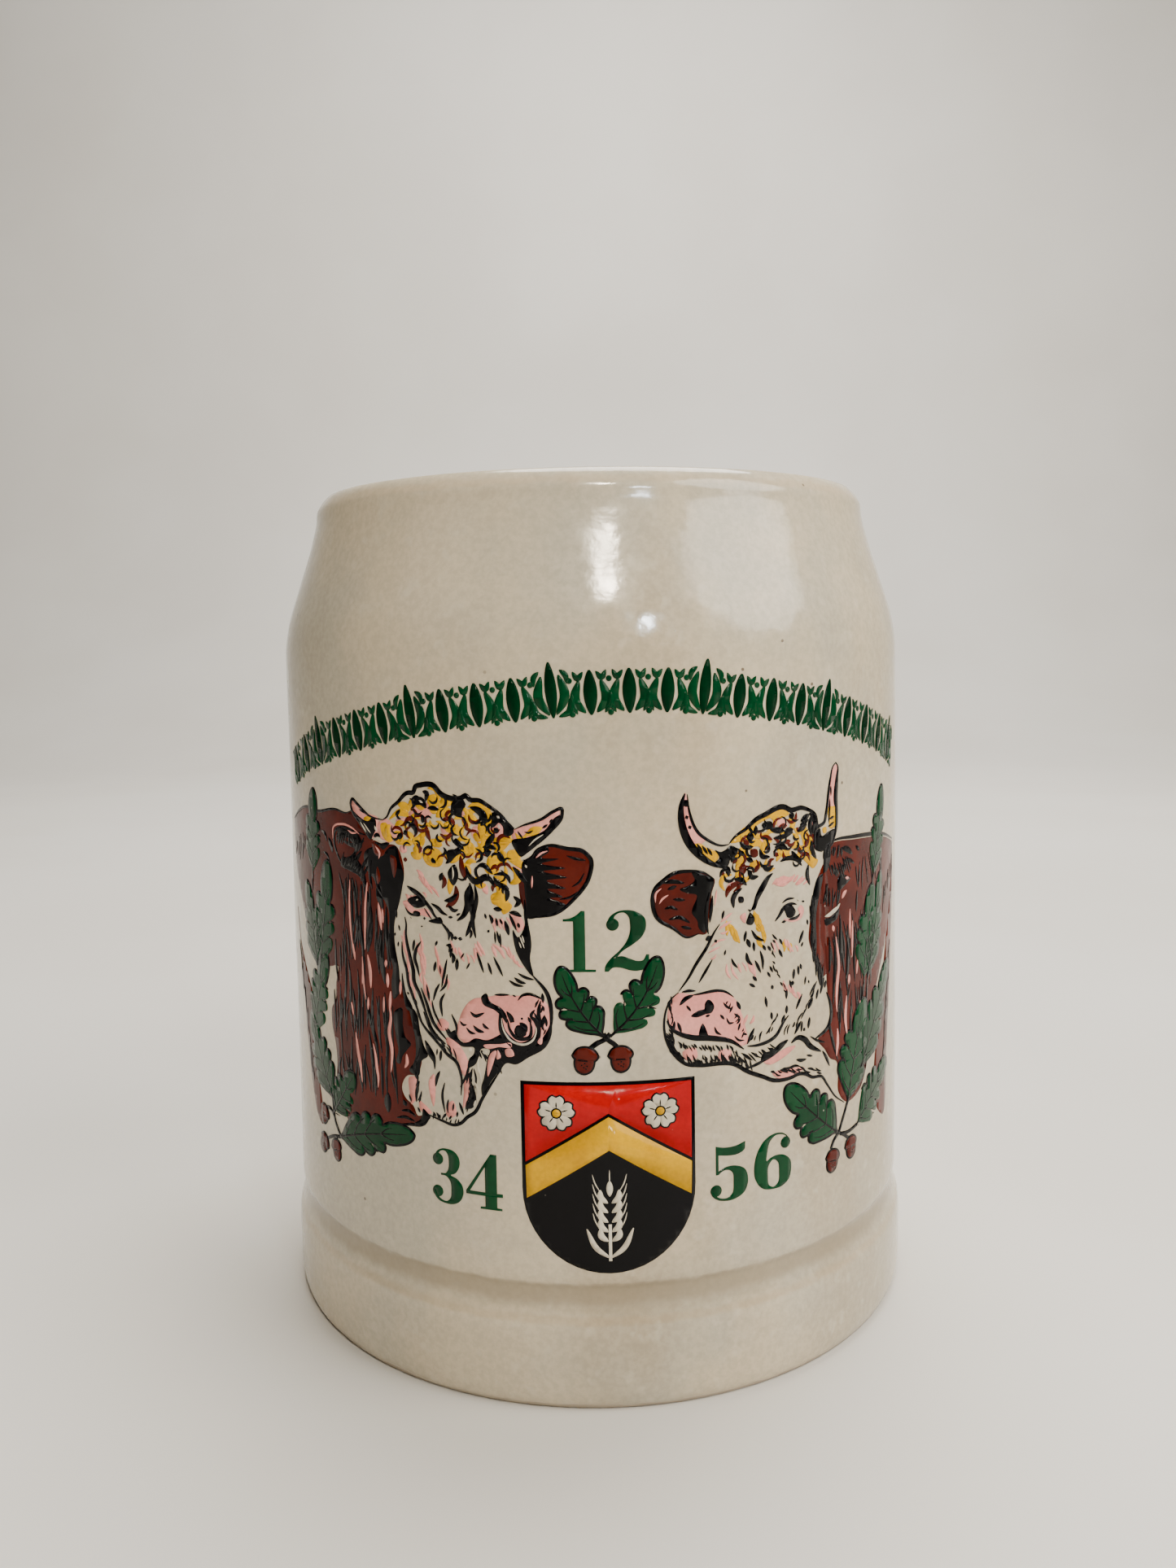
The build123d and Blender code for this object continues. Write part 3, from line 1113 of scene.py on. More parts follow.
@dataclass(frozen=True)
class OakLeaf:
    """One lobed leaf, from the foot of its midrib to its tip. Sizes are in millimetres."""

    foot: Point
    tip: Point
    width: float
    bow: float = 0.0
    edge: float = 0.2
    side: str = (".05 .10,.12 .40,.21 .74,.29 .99,.355 1.0,.388 .80,.375 .56,.415 .88,.465 1.05,.515 .95,"
                 ".528 .72,.50 .46,.548 .77,.60 .93,.65 .85,.668 .64,.66 .45,.74 .53,.84 .52,.925 .40,.98 .2")
    veins: str = ".10 .0 .23 .60 .31 .76,.24 .0 .36 .60 .44 .80,.40 .0 .51 .50 .58 .70,.62 .0 .70 .22 .77 .3"

    def place(self, along: float, out: float) -> Point:
        """A place on the leaf, from shares of its length and of half its width.

        Args:
            along: share of the length from the foot.
            out: share of half the width, positive to the left.

        Returns:
            The place.
        """
        run_x, run_y = self.tip[0] - self.foot[0], self.tip[1] - self.foot[1]
        long = hypot(run_x, run_y)
        off = out * 0.5 * self.width + 4 * self.bow * along * (1 - along)
        return (self.foot[0] + along * run_x - off * run_y / long,
                self.foot[1] + along * run_y + off * run_x / long)

    def outline(self) -> list[Point]:
        """The leaf's edge, up one side and back down the other.

        Returns:
            The closed outline.
        """
        half = path(self.side)
        left = [self.place(t, w) for t, w in half]
        right = [self.place(t - 0.03 * sin(pi * t), -0.96 * w) for t, w in reversed(half)]
        return smooth([self.foot, self.foot, *left, self.tip, *right], step=0.22)

    def print_on(self, motif: Motif) -> None:
        """Adds the leaf's edge, green and veins to a motif.

        Args:
            motif: where it is printed.
        """
        edge = self.outline()
        motif.area(Ink.BLACK, grown(edge, self.edge), level=Over.EDGE)
        motif.area(Ink.GREEN, grown(edge, -0.6 * self.edge), level=Over.FILL)
        rib = [self.place(t, 0.0) for t in (0.0, 0.25, 0.5, 0.75, 0.92)]
        motif.line(Ink.BLACK, rib, 0.34, Tip.THIN_END, Over.VEIN)
        for vein in self.veins.split(","):
            start, _, t1, w1, t2, w2 = (float(number) for number in vein.split())
            for hand in (1, -1):
                line = [self.place(start, 0.0), self.place(t1, hand * w1), self.place(t2, hand * w2)]
                motif.line(Ink.BLACK, line, 0.24, Tip.THIN_END, Over.VEIN)


@dataclass(frozen=True)
class Acorn:
    """One acorn hanging in its cup, drawn about the middle of the cup's rim."""

    at: Point
    turn: float = 0.0
    size: float = 1.0
    edge: float = 0.17
    cup: str = "-1.72 .1*,-1.2 1.0,0 1.42,1.2 1.05,1.72 .2,1.5 -.25,0 -.42,-1.5 -.2"
    nut: str = "-1.22 -.2,-1.3 -1.0,-.9 -1.95,0 -2.35,.9 -1.95,1.3 -1.0,1.22 -.2,0 -.1"
    marks: str = "-.35 -1.15,.05 -.85,.4 -1.2,0 -1.45,.3 -1.6"

    def print_on(self, motif: Motif) -> None:
        """Adds the acorn to a motif.

        Args:
            motif: where it is printed.
        """
        for text in (self.nut, self.cup):
            shape = moved(smooth(path(text), step=0.25), self.at, self.turn, self.size)
            above = 1 if text == self.cup else 0
            motif.area(Ink.BLACK, grown(shape, self.edge), level=Over.EDGE + above)
            motif.area(Ink.BROWN, grown(shape, -0.5 * self.edge), level=Over.FILL + above)
        for mark in moved(path(self.marks), self.at, self.turn, self.size):
            motif.area(Ink.BLACK, disc(mark, 0.1, count=8), level=Over.VEIN + 1)


@dataclass
class Spray(Motif):
    """A spray of oak leaves and acorns on thin stems."""

    leaves: tuple[OakLeaf, ...] = ()
    acorns: tuple[Acorn, ...] = ()
    stems: tuple[str, ...] = ()
    stem_width: float = 0.5

    def draw(self) -> None:
        """Prints the spray."""
        for stem in self.stems:
            self.line(Ink.BLACK, stem, self.stem_width, Tip.BLUNT, Over.EDGE)
        for part in (*self.leaves, *self.acorns):
            part.print_on(self)


def centre_sprig() -> Spray:
    """The small sprig between the two heads."""
    return Spray(
        "centre_sprig",
        leaves=(OakLeaf((0.85, 51.15), (-4.55, 60.2), 4.9, 0.75),
                OakLeaf((1.75, 51.1), (8.1, 61.2), 5.1, -1.0)),
        acorns=(Acorn((-1.5, 48.4), -0.12, 0.94), Acorn((3.0, 48.5), 0.03, 0.9)),
        stems=("0.85 51.5,1.25 50.85,2.2 50.1,2.8 49.5", "1.75 51.5,1.2 50.85,.2 50.3,-.9 49.55",
               ".35 50.45,-.3 50.05,-.85 49.55"),
        stem_width=0.62)


def right_branch() -> Spray:
    """The branch beside the right bull."""
    return Spray(
        "right_oak_branch",
        leaves=(
            OakLeaf((46.4, 66.8), (50.0, 80.0), 5.2, -0.3),
            OakLeaf((44.6, 52.6), (49.6, 67.4), 5.4, -0.3),
            OakLeaf((43.4, 52.4), (46.4, 66.2), 6.4, 0.3),
            OakLeaf((42.5, 39.9), (53.6, 53.3), 6.8, 0.3),
            OakLeaf((38.9, 36.0), (43.6, 50.0), 7.4, 0.4),
            OakLeaf((41.2, 31.8), (52.8, 38.2), 6.6, 0.3),
            OakLeaf((36.4, 32.3), (26.2, 41.4), 6.6, 0.35),
        ),
        acorns=(Acorn((35.3, 28.9), -0.16, 0.86), Acorn((39.7, 29.5), 0.12, 0.86)),
        stems=("36.7 32.2,35.6 31.4,34.9 30.3", "36.5 32.3,37.9 31.5,39.2 30.6",
               "36.6 32,37.6 33.8,38.9 36.2", "37 31.9,39 31.6,41.3 31.9",
               "41.3 47,42.8 50,43.6 52.6", "45.8 64.6,46.2 66,46.4 67"))


def left_branch() -> Spray:
    """The branch beside the left bull."""
    return Spray(
        "left_oak_branch",
        leaves=(
            OakLeaf((-47.6, 68.4), (-46.6, 81.1), 5.6, 0.2),
            OakLeaf((-47.0, 55.2), (-50.4, 67.2), 6.2, -0.3),
            OakLeaf((-46.0, 55.0), (-42.4, 71.3), 6.4, -0.3),
            OakLeaf((-49.0, 44.6), (-43.6, 57.8), 6.4, 0.3),
            OakLeaf((-43.2, 36.4), (-50.2, 47.6), 7.0, 0.3),
            OakLeaf((-42.9, 34.4), (-37.1, 41.6), 5.6, 0.0),
            OakLeaf((-41.4, 31.2), (-25.6, 35.5), 5.8, 0.5),
        ),
        acorns=(Acorn((-46.1, 33.4), -0.5, 0.82), Acorn((-42.6, 29.2), 0.25, 0.82),
                Acorn((-46.4, 28.9), -0.6, 0.82)),
        stems=("-41.2 31.3,-42.6 33.0,-43.3 36.3", "-43 33.9,-44.1 34.6,-45.2 34.5",
               "-41.3 31.2,-43.2 30.7,-45.2 29.8", "-42.4 31,-42.4 30.5,-42.4 30.2",
               "-46.6 42,-48.2 43.4,-49 44.8", "-46.4 52.6,-46.4 54,-46.4 55.4",
               "-48 66.2,-47.8 67.4,-47.6 68.6"))


# ---- the left bull -------------------------------------------------------------------------
@dataclass
class LeftBull(Motif):
    """The bull's head that looks out to the right, with its neck, drawn in millimetres."""

    name: str = "left_bull"
    pen: float = 1.2

    def neck(self) -> None:
        """The brown neck and foreleg, with dark folds and pale streaks in the coat."""
        self.about = (-36.0, 38.0)
        self.patches(Ink.BROWN, """
        -21.5 37.4*,-18 38.9,-14 40,-9 39.9,-4 40.7,-1 40.5,.2 40.9,3 38,6 37,8.7 36.8,9.6 35,
        9.8 33,9 31,8 28,7.8 24,8.3 20,9.6 16.6,11.4 10.5,12 8.3,11 6.1,9.5 5.7,8.5 3.6,9 2.6,10.4 1.6,
        11.1 .4,12.1 .6,12.6 .1,10.5 -.9,5 -2,1 -3.2,-2.5 -4,-4.2 -2,-5.8 1.5,-5.5 4.5,-5.8 7,-6.6 9.5,
        -6.5 12,-5.3 13.5,-5 16,-4.3 18.5,-6.8 18,-14.5 22,-16.5 25,-21 32;-21 24,-19 19,-16 15.5,-13.5 12.5,
        -12.5 9.6,-13.4 6,-13.4 2,-11.8 -1,-11 -4,-11.2 -6.8,-12.8 -6,-14.5 -3,-16 2,-17.2 7,
        -19.2 19""")
        self.strokes(Ink.BLACK, """
        .36:-21.5 37.5,-18 39,-14 40.1,-9 40,-4 40.8,-1 40.6,.1 41;.54:1.5 28.2,1.4 25,1.8 22,1.6 19;
        1.08:3 30.2,3.3 27,2.8 21.8;.96:5.1 31.6,5.4 29.6,6 28;.9:5.4 25,5.4 22,6 17.8;.48:4.7 28,4.6 23,5 19;
        .6:6.6 28.5,6.5 25,6.8 22,6.6 20;.54:.4 30.6,.8 22;.6:-.4 31.6,-.5 26,-.1 22;.6:2 16.5,2.8 12.7,4 9,
        4.3 6;.6:2.5 10.8,3.2 6,3.5 1.5;.42:1.7 8.5,1.3 5,1.4 2;.54:5.9 16.6,6.1 9,5.7 4.8;.48:7.3 15,7 10.5,
        7.3 6.5,7.7 1.4;1.08:5.9 2.6,5.8 1.2,5.9 -.2;.54:-.7 16,-.5 13,-.6 10;.48:-1.6 20,-1.2 16,-1.6 12;
        .42:-2.6 24,-2.2 18,-2.9 12,-2.6 8;.48:2.1 21,1.8 17,2.2 13.6;.42:.5 19,.7 14,.4 9;.36:-1.3 9,-1.6 5,
        -1.2 2;.42:7.1 25,6.8 22.5,7.2 20;.42:-3.8 16,-4.1 10,-3.9 5;.36:8.3 .6,9.6 .8,10.8 .2;.36:7.4 -.6,
        9 -.2,10.6 -.5;.48:4.8 16,4.5 12,5 8;.72:-6 36.6,-5.2 35.4,-4.9 34.6;.42:-8.2 37.4,-7 37,-6.4 36;
        .36:-2.4 30.6,-2.2 27,-2.6 24;.36:13 .5,12.2 -.5,9.6 -1.1,7.7 -1.5;.36:-7.6 34.4,-6.4 34,
        -5.8 33""")
        self.patches(Ink.BLACK, """
        8.5 36.9,9.2 35,9.8 33,9.5 31.6,9.1 30,7.9 26,7.9 24,8.6 19.6,8.3 16.6,7.6 16,7.2 18,7.5 20.4,7 22,
        6.9 25,7 28,6.2 29.4,5.2 30.4,4.4 32,2.8 33.4,2.6 35.4,4.6 36.4,6.4 35.8,7.4 36.6;10.2 15.4,11 15,
        11.9 12,12.4 10.3,13 9,12 8.2,11.3 6,9.9 6.5,10.8 7.9,11.1 10.5,10.4 14;7.8 14.5,8.8 15,9 12.5,9.4 11,
        10.3 10.2,9.6 9.3,8.8 8.3,8.2 7.1,7.8 7.2,8.1 9,7.7 11;9.1 19.8,9.7 17,10.6 15,10.1 14.8,9.2 16.8;
        12 1.6,12.6 1.2,13.1 .7,12 -.5,11 -.9,10.5 -.8,11.4 -.1,11.8 .6;8.7 2.2,9.3 1.9,9.2 1.4,8.7 1.5;
        -.8 32.6,1.4 32,2.8 30.6,2.4 33,.8 35,2.2 36.4,1.4 37.8,-.6 38,-3 38.2,-3.6 37.4,-.6 37,.6 35.8,
        -1 34.4,-2.6 34.2,-2.8 33.2""")
        self.strokes(Ink.PINK, """
        .3:-.8 31.3,-1 27.3,-.7 23.3,0 20.4;.38:3 31.4,2.6 29,2.2 22;.5:2.7 21.4,3.1 19.5,3.2 16.8;
        .5:5.1 28.9,5.6 25.2;.3:5.8 28.2,5.9 26.2;.4:-.6 22.8,0 20.2;.3:1.6 21,1.7 17.6,2.1 15;.4:6.3 21.2,
        6.2 20.2;.45:6.5 19.4,6.5 17.4;.4:7 17,6.7 14.2;.35:8.8 18.6,8.7 16.8;.3:5.7 16,5.6 13.8;.5:6.7 15,
        6.9 13.4,6.5 11.2,6.9 9,6.6 5.6;.3:2.6 15.4,2.5 13.6;.5:-.4 9.8,-.1 7.4,.4 5.2,.7 2.9;.4:3.3 9,
        3.7 7.4,3.9 5.6,4.1 4.4,4 2.9;.45:9.5 8.7,9.5 7.4,9.1 6.7;.25:-4.7 36.6,-4.7 38,-2 38.9,0 38.6,
        1.6 37.9;.3:-1.2 14,-.8 12.2;.25:1.6 19,1.4 17;.22:-.9 38.2,0 37.9,1.1 38""", level=7)
        self.hatch(Ink.BLACK, 20, """
        88 5.5 .4 .8:-4.6 19,-2 22,1.4 24,6.4 24;86 6 .4 .75:-5.6 11.6,-2 12,2 13,7 12.5;91 5 .4 .75:-4.6 4,
        -2 3.6,2 4,7 5;92 4 .4 .7:-3 29.6,0 30,4 28.6;72 1.8 .4 .45:-3.6 36.8,-1 37,2.2 36.4;
        55 1.8 .4 .45:-2.8 34,0 33.6,2.6 32.8;70 3.2 .4 1.3:-20 33,-15 34.6,-9 35;100 3.4 .4 1.6:-19.4 17,
        -16.6 8,-14.6 0""", bow=0.06)

    def ears(self) -> None:
        """Both ears, brown with dark fur."""
        self.about = (-40.0, 66.0)
        self.patches(Ink.BROWN, """
        30.6 7.6,32 8.2,32.6 9.2,36.8 9.6,38.6 9.2,39.7 8,39.4 5.8,37.4 3,35.4 1.4,33.4 .9,31.6 .6,30.8 2.2,
        30.4 5""")
        self.patches(Ink.BLACK, """
        31.1 7.9,32 8.5,32.8 9.4,34.2 9.8,34.4 9.2,33.4 8.4,35.6 8.2,33.4 7.6,36.4 7,33.6 6.6,36.6 5.8,34 5.4,
        36.4 4.4,34.1 4.3,36 3.3,34.4 3.2,36.4 2.2,35.4 1.3,33.4 .8,31.5 .5,31.3 2.6,31.1 5""")
        self.strokes(Ink.BLACK, """
        .46:31 8,32 8.1,32.7 9.2,34.4 9.9,36.8 9.5,38.6 9.2,39.6 8.2,39.4 5.9,37.4 3,35.4 1.3,31.4 .5;
        .42:7 9.9,4.6 10.1,2 10.4,-.2 9.6,-.4 8.2,.6 6.2,2.4 4.6;.48:6.6 9,4.4 8.2,1.8 8.6;.6:6 7.6,4.4 6,
        2.6 5.2;.48:7.4 7,6.2 5.4,5.8 3.4;.48:8 6.6,7.6 4.6,8 2.6;.42:3.2 9.2,1.4 9.4,.4 8.6;.36:8.6 9,
        9.6 8.6,10.8 8.9;.3:36.6 8.6,37.8 8.2,39 8;.24:37.2 4.6,38.1 5.2,38.8 6.4;.26:35.6 3,
        37 3.3,38 4""")
        self.strokes(Ink.PINK, """
        .22:32.7 8.3,33.4 8.9,34.2 9.2;.2:32.2 6,32.1 4.4;.3:8.8 8.6,9.6 7.6,9.4 6.9""", level=7)
        self.patches(Ink.BROWN, """
        8.2 9,9.8 8.4,10.6 7.8,9.8 7.2,8.8 7.4;11.6 7.6,12.4 7.4,12.1 4.6,11.7 6;9.1 5.8,9.6 4,
        9.1 3.4,8.8 4.4""", level=7)

    def horns(self) -> None:
        """Both horns: pink, yellow towards the root, with dark undersides."""
        self.about = (-36.0, 76.0)
        self.patches(Ink.PINK, """
        0 3.9,.5 4.5,2 3.7,3.4 2.9,5.4 2.4,5.6 1,4.4 -.4,2.8 .6,1.4 2;25.8 1.8,27.6 2.4,29.6 3.1,31.8 4.4,
        31.9 3.8,30.6 2,28.6 0,26.9 -1.2""")
        self.patches(Ink.YELLOW, """
        2.6 2.1,4 2.5,4.1 1.2,3.2 1.5;26.1 1.5,26.8 1,28.4 2.3,29.6 2.2,28.8 1.2,27.6 1,26.7 .2""", level=4)
        self.patches(Ink.BLACK, """
        .4 2.9,3.7 1.9,4.2 2.3,4.8 2.3,4.9 .6,4.6 .2,4 -.6,2.4 .8,1.4 2;25.6 .4,27.6 .9,29.8 1.8,31.4 3.6,
        32.1 3.9,31.8 3,30.4 1.4,27.6 -1.1,26.8 -1.6,26.1 -.8""")
        self.strokes(Ink.BLACK, """
        .36:4 -.7,1.8 1.4,.1 3.2,-.1 4,.3 4.6,1 4.2,4 2.5,6.4 2.2;.36:26 1.9,26.8 2.3,29.6 3.3,31 4.2,
        32.1 4.6,32.1 3.6,30.8 1.8,29 0;.22:1.7 3.3,3 2.8;.24:26.4 1.7,27.1 .7;.24:27.3 1.6,27.8 1.5,28.4 1.8;
        .3:29.6 2.1,30.3 2.6;.24:30.5 2.8,30.9 3.3""")
        self.strokes(Ink.WHITE, """
        .2:1.9 1.6,3.1 .3;.16:2.6 1.5,4 .2;.16:27.8 -.2,28.6 .6,29.7 1.3""", level=7)

    def poll(self) -> None:
        """The curly hair between the horns."""
        self.about = (-21.0, 71.0)
        self.patches(Ink.PINK, """
        -9.6 6.6,-8 7.4,-6.6 6.6,-5.4 6.2,-7.8 4.2,-9.2 4.8;-4.2 8.2,-3.2 9.2,-1.6 9.3,-.4 8.8,-1 7.9,
        -2.6 7.7;-1.6 9.8,-.4 10,.4 9.3,-.8 9.1;.8 6.8,2 7,2.6 6,1.6 5.7,.9 6.2;5.4 7,8.2 6.6,7.6 5.4,5.8 5.3,
        5.2 6;8.2 7.6,9 7.9,9.6 6.2,8.4 5.6;8 5.2,9.4 5.4,10 4.8,8.4 4.6;-6.4 7.2,-5 7.8,-4.2 7.6,-5.4 7;
        10.6 2.1,11.8 2,12.4 1,11.6 .4;6.6 0,7.2 -.4,7.2 -1.6,6.6 -1.2;-3.6 3.8,-2.6 4.2,-2 3.6,-3 3.2;
        -5.8 3.8,-4.9 4,-4.6 3.3,-5.6 3.1;3.8 8.8,4.4 9.2,4.8 7.6,4.4 7.4""")
        self.patches(Ink.YELLOW, """
        -7.5 7.3,-5.4 9,-4.5 8.9,-4.1 8.1,-6.2 7.9;-5.9 9.5,-5.1 9.9,-3.9 9.2,-4 8.7;-.9 10.8,.1 11.1,.8 9.9,
        -.2 9.4,-1.1 9.9;.7 9.3,1.9 9.5,2.6 8.9,.1 8.2;-9 6.7,-8.1 6.9,-7.4 5.5,-6.9 4.6,-7.5 4.3,-8.6 4.8;
        -6.7 4.9,-5.1 4.8,-4.5 4.9,-3.9 4.2,-5.4 4.1,-6.3 4.2;-3 7.1,-.9 6.4,-2.4 4.8,-3.1 4.2,-3.7 4.9,
        -2.8 5.5,-2 6.3;-1.9 3.8,-.4 4.1,.7 3.7,1.1 2.9,.8 1.9,-1.5 1.9,-2.1 3.1;-4 3.1,-2.1 3.2,-2.3 2.5,
        -3.6 2.5;-.9 5,.7 5.1,1 4.5,-.5 4.3;1.3 7.3,2.2 7.7,3.1 7.1,4 7,4.1 6.1,1.9 6.4;5.4 6.1,7.5 6.1,
        7.8 5.7,6.9 5.4,5.8 5.2;4.1 4.6,4.8 5.2,5.8 4.2,5.4 3.4,4.5 3.3;8.3 5.7,9.6 5.9,10.8 5.6,10.2 4.9,
        9.5 4.2,8.7 4,9 2.4,8.5 1.8,7.7 1.8,7.2 2.4,7.5 3.3,8.2 3.8;10.1 4.1,11 4.3,11.7 3.7,11.7 3.1,
        12.6 2.3,12.3 1.9,10.8 2.4,10 3.1;2 .5,2.6 1.1,2.3 -1.3,1.9 -1.9,1.6 -1.2;7.7 -1.7,8.7 -1.2,9.6 -1.5,
        10 -2.4,10.5 -2.9,9.3 -4.1,8.7 -3.1,7.9 -2.8""", level=4)
        self.strokes(Ink.YELLOW, """
        .75:4.8 9.6,5.7 10,7.6 8.9,7.8 8,7.2 7.2,6.1 7;.45:2.8 8,3.3 8.2,4 8.2;.4:.1 7.6,1 7.3,
        1.2 6.7""", level=5)
        self.strokes(Ink.BROWN, """
        .55:-5.6 6.6,-4.9 6.9,-4.2 7.7,-3.2 7.5,-3 5.8,-3.4 5.3;.61:-1.2 6.7,-1.2 5.8,-.8 5;.5:-3 4.5,
        -2.4 3.8,-2.6 3.2;.5:.7 6,1.6 5.5,2.1 5.8,2.5 6.5;.55:1 7.8,2 8,2.6 7.7,2.8 7;.5:3.9 8.1,4.5 7.4,
        4.6 6.8,5.2 6.7;.5:7.7 1.6,8.4 2.1,8.8 1.6;.66:3.6 3.3,3.8 1.6,4.3 .1;.77:2.8 -.7,2.9 -1.8,2.3 -2.9,
        1.3 -3.6;.55:-4.9 2.5,-4.9 1.9;.55:1 .6,1.2 -.4,.8 -1.2""", level=5)
        self.patches(Ink.BLACK, """
        -3.5 9.4,-2.8 10.6,-1.9 10.6,-1.3 9.9,-1.3 9.2,-2.3 9.6;2.6 10.2,4 10.7,4.5 9.9,4 9,3.9 8.3,2.5 8.8;
        8.1 9,8.7 9.1,9.6 8.3,10.9 7,10.9 6.5,10.2 6,9.6 6.2,9.5 7.2,9 7.7,8.4 7.2,7.9 7,8 8;7 4.5,8.4 5.8,
        8.4 6.3,7.1 5.2;6.9 4.4,7.9 4,7.3 3.2;2.9 5.5,4.1 4,3.4 4.3,2.6 5.1;1.5 3.4,1.8 3.9,2.6 4,3.5 4.4,
        3.8 3.7,3 3.2,2.1 2.3,1.4 2.1,1.7 2.8;1.7 1,2.7 2.1,3.2 .4,2.5 -.7;-6.2 5.1,-5.4 5.8,-5.2 5.2,
        -5.9 4.8;-6.4 8,-6.2 8.5,-5.5 8.8,-5.7 8.2;-.8 2.5,-.5 2.8,0 2.1,-.6 2.1;8.1 1,9.4 1.4,10.3 .8,
        10.3 -.1,9.6 .8""")
        self.area(Ink.BLACK, disc((-1.9, 7.8), 0.3, 0.55, 14))
        self.strokes(Ink.BLACK, """
        .61:-8.7 7.2,-8 7.6,-7.1 8.9,-6 9.7,-4.2 11.1,-3.3 11.2,-2.9 12,-2.2 12.2,-.3 12.3,1.1 11.1,4 10.8,
        4.5 11.1,5.1 10.6,6.4 10.5,7.5 9.9,9.5 8.5,10.2 7.7,11 7;.61:-4.2 6.6,-3.9 6.9,-3.1 6.4,-3.1 5.5;
        .55:-1.1 9.2,-.4 9.3,.6 9.1;.87:5.1 9.6,6.1 9.3,6.9 8.6,7 7.8,6.5 7.3;.65:8.3 7,8.9 6.5;.58:6.7 4.5,
        7.8 4.6,8.6 4.3;.72:8.8 4,9.1 3.3,9.6 2.7;.72:4.3 2,4.8 .7,5.6 0,6.4 .3,7 .7,7.7 .3,8.2 -.6;
        .61:8.1 .8,8.5 0,9.8 -.8,9.7 -1.9;.61:10.7 2.1,11.5 1.2,12.1 .4,12.6 0;.55:10.7 -1.7,11.4 -2.4,
        10.8 -3.1;.55:9.6 -.3,9.9 -1.4,9.7 -2.4;.72:4.9 -.4,4.4 -1.6,4.4 -3.3,3.8 -4.6,2.9 -5.3;.72:4.8 -.2,
        5 -1.5,4.9 -3,5.2 -4.5,4.7 -6;.55:5.5 -.4,5.7 -2,5.1 -5.2,5.5 -7.4;.55:1.1 -2.8,2 -2.6,3.1 -1.7;
        .58:5.9 2,6.6 2.2,8 1.1;.61:-1.8 11.4,-1.2 11.2,-1.4 10.1;.58:-5.1 5.6,-4.4 6;.55:-4.7 -1.3,-1.8 -2.8;
        .55:.9 .9,.5 -.2;.72:-10.2 4.1,-9.3 3.6,-7.6 4.2;.51:-10.5 4.8,-9.8 5.1,-9.2 4.9;.51:8 -3.4,9.2 -3.5;
        .51:10.1 -3.8,10.9 -3.9,11.7 -4.3;.51:2.8 9.2,2.4 8.6""")
        self.strokes(Ink.WHITE, """
        .28:8.7 8.6,9.1 8.3;.25:8.8 7.5,9.1 7;.2:2.4 1.8,2.5 .8,2.4 .1;.25:-2.4 10.2,-1.8 9.9;.3:-10.6 4.3,
        -9.6 4.7,-9 4.4,-8.3 4.4;.3:-10.2 6.3,-9.9 5.6;.25:12.3 2.4,12.5 2""", level=7)
        region = """
        -8.6 6.4,-6 8.4,-3 10.6,0 11.4,4.6 10,8.6 8.2,10.2 5,11.2 1.6,9.6 -1.4,7 -1,4.4 0,2 2.4,
        -2 3,-7 4.4"""
        self.curls(Ink.YELLOW, region, 1.9, 0.85, 1.9, 31, level=4)
        self.curls(Ink.BROWN, region, 1.7, 0.42, 2.9, 32, level=5)
        self.curls(Ink.BLACK, region, 1.5, 0.34, 1.75, 33)

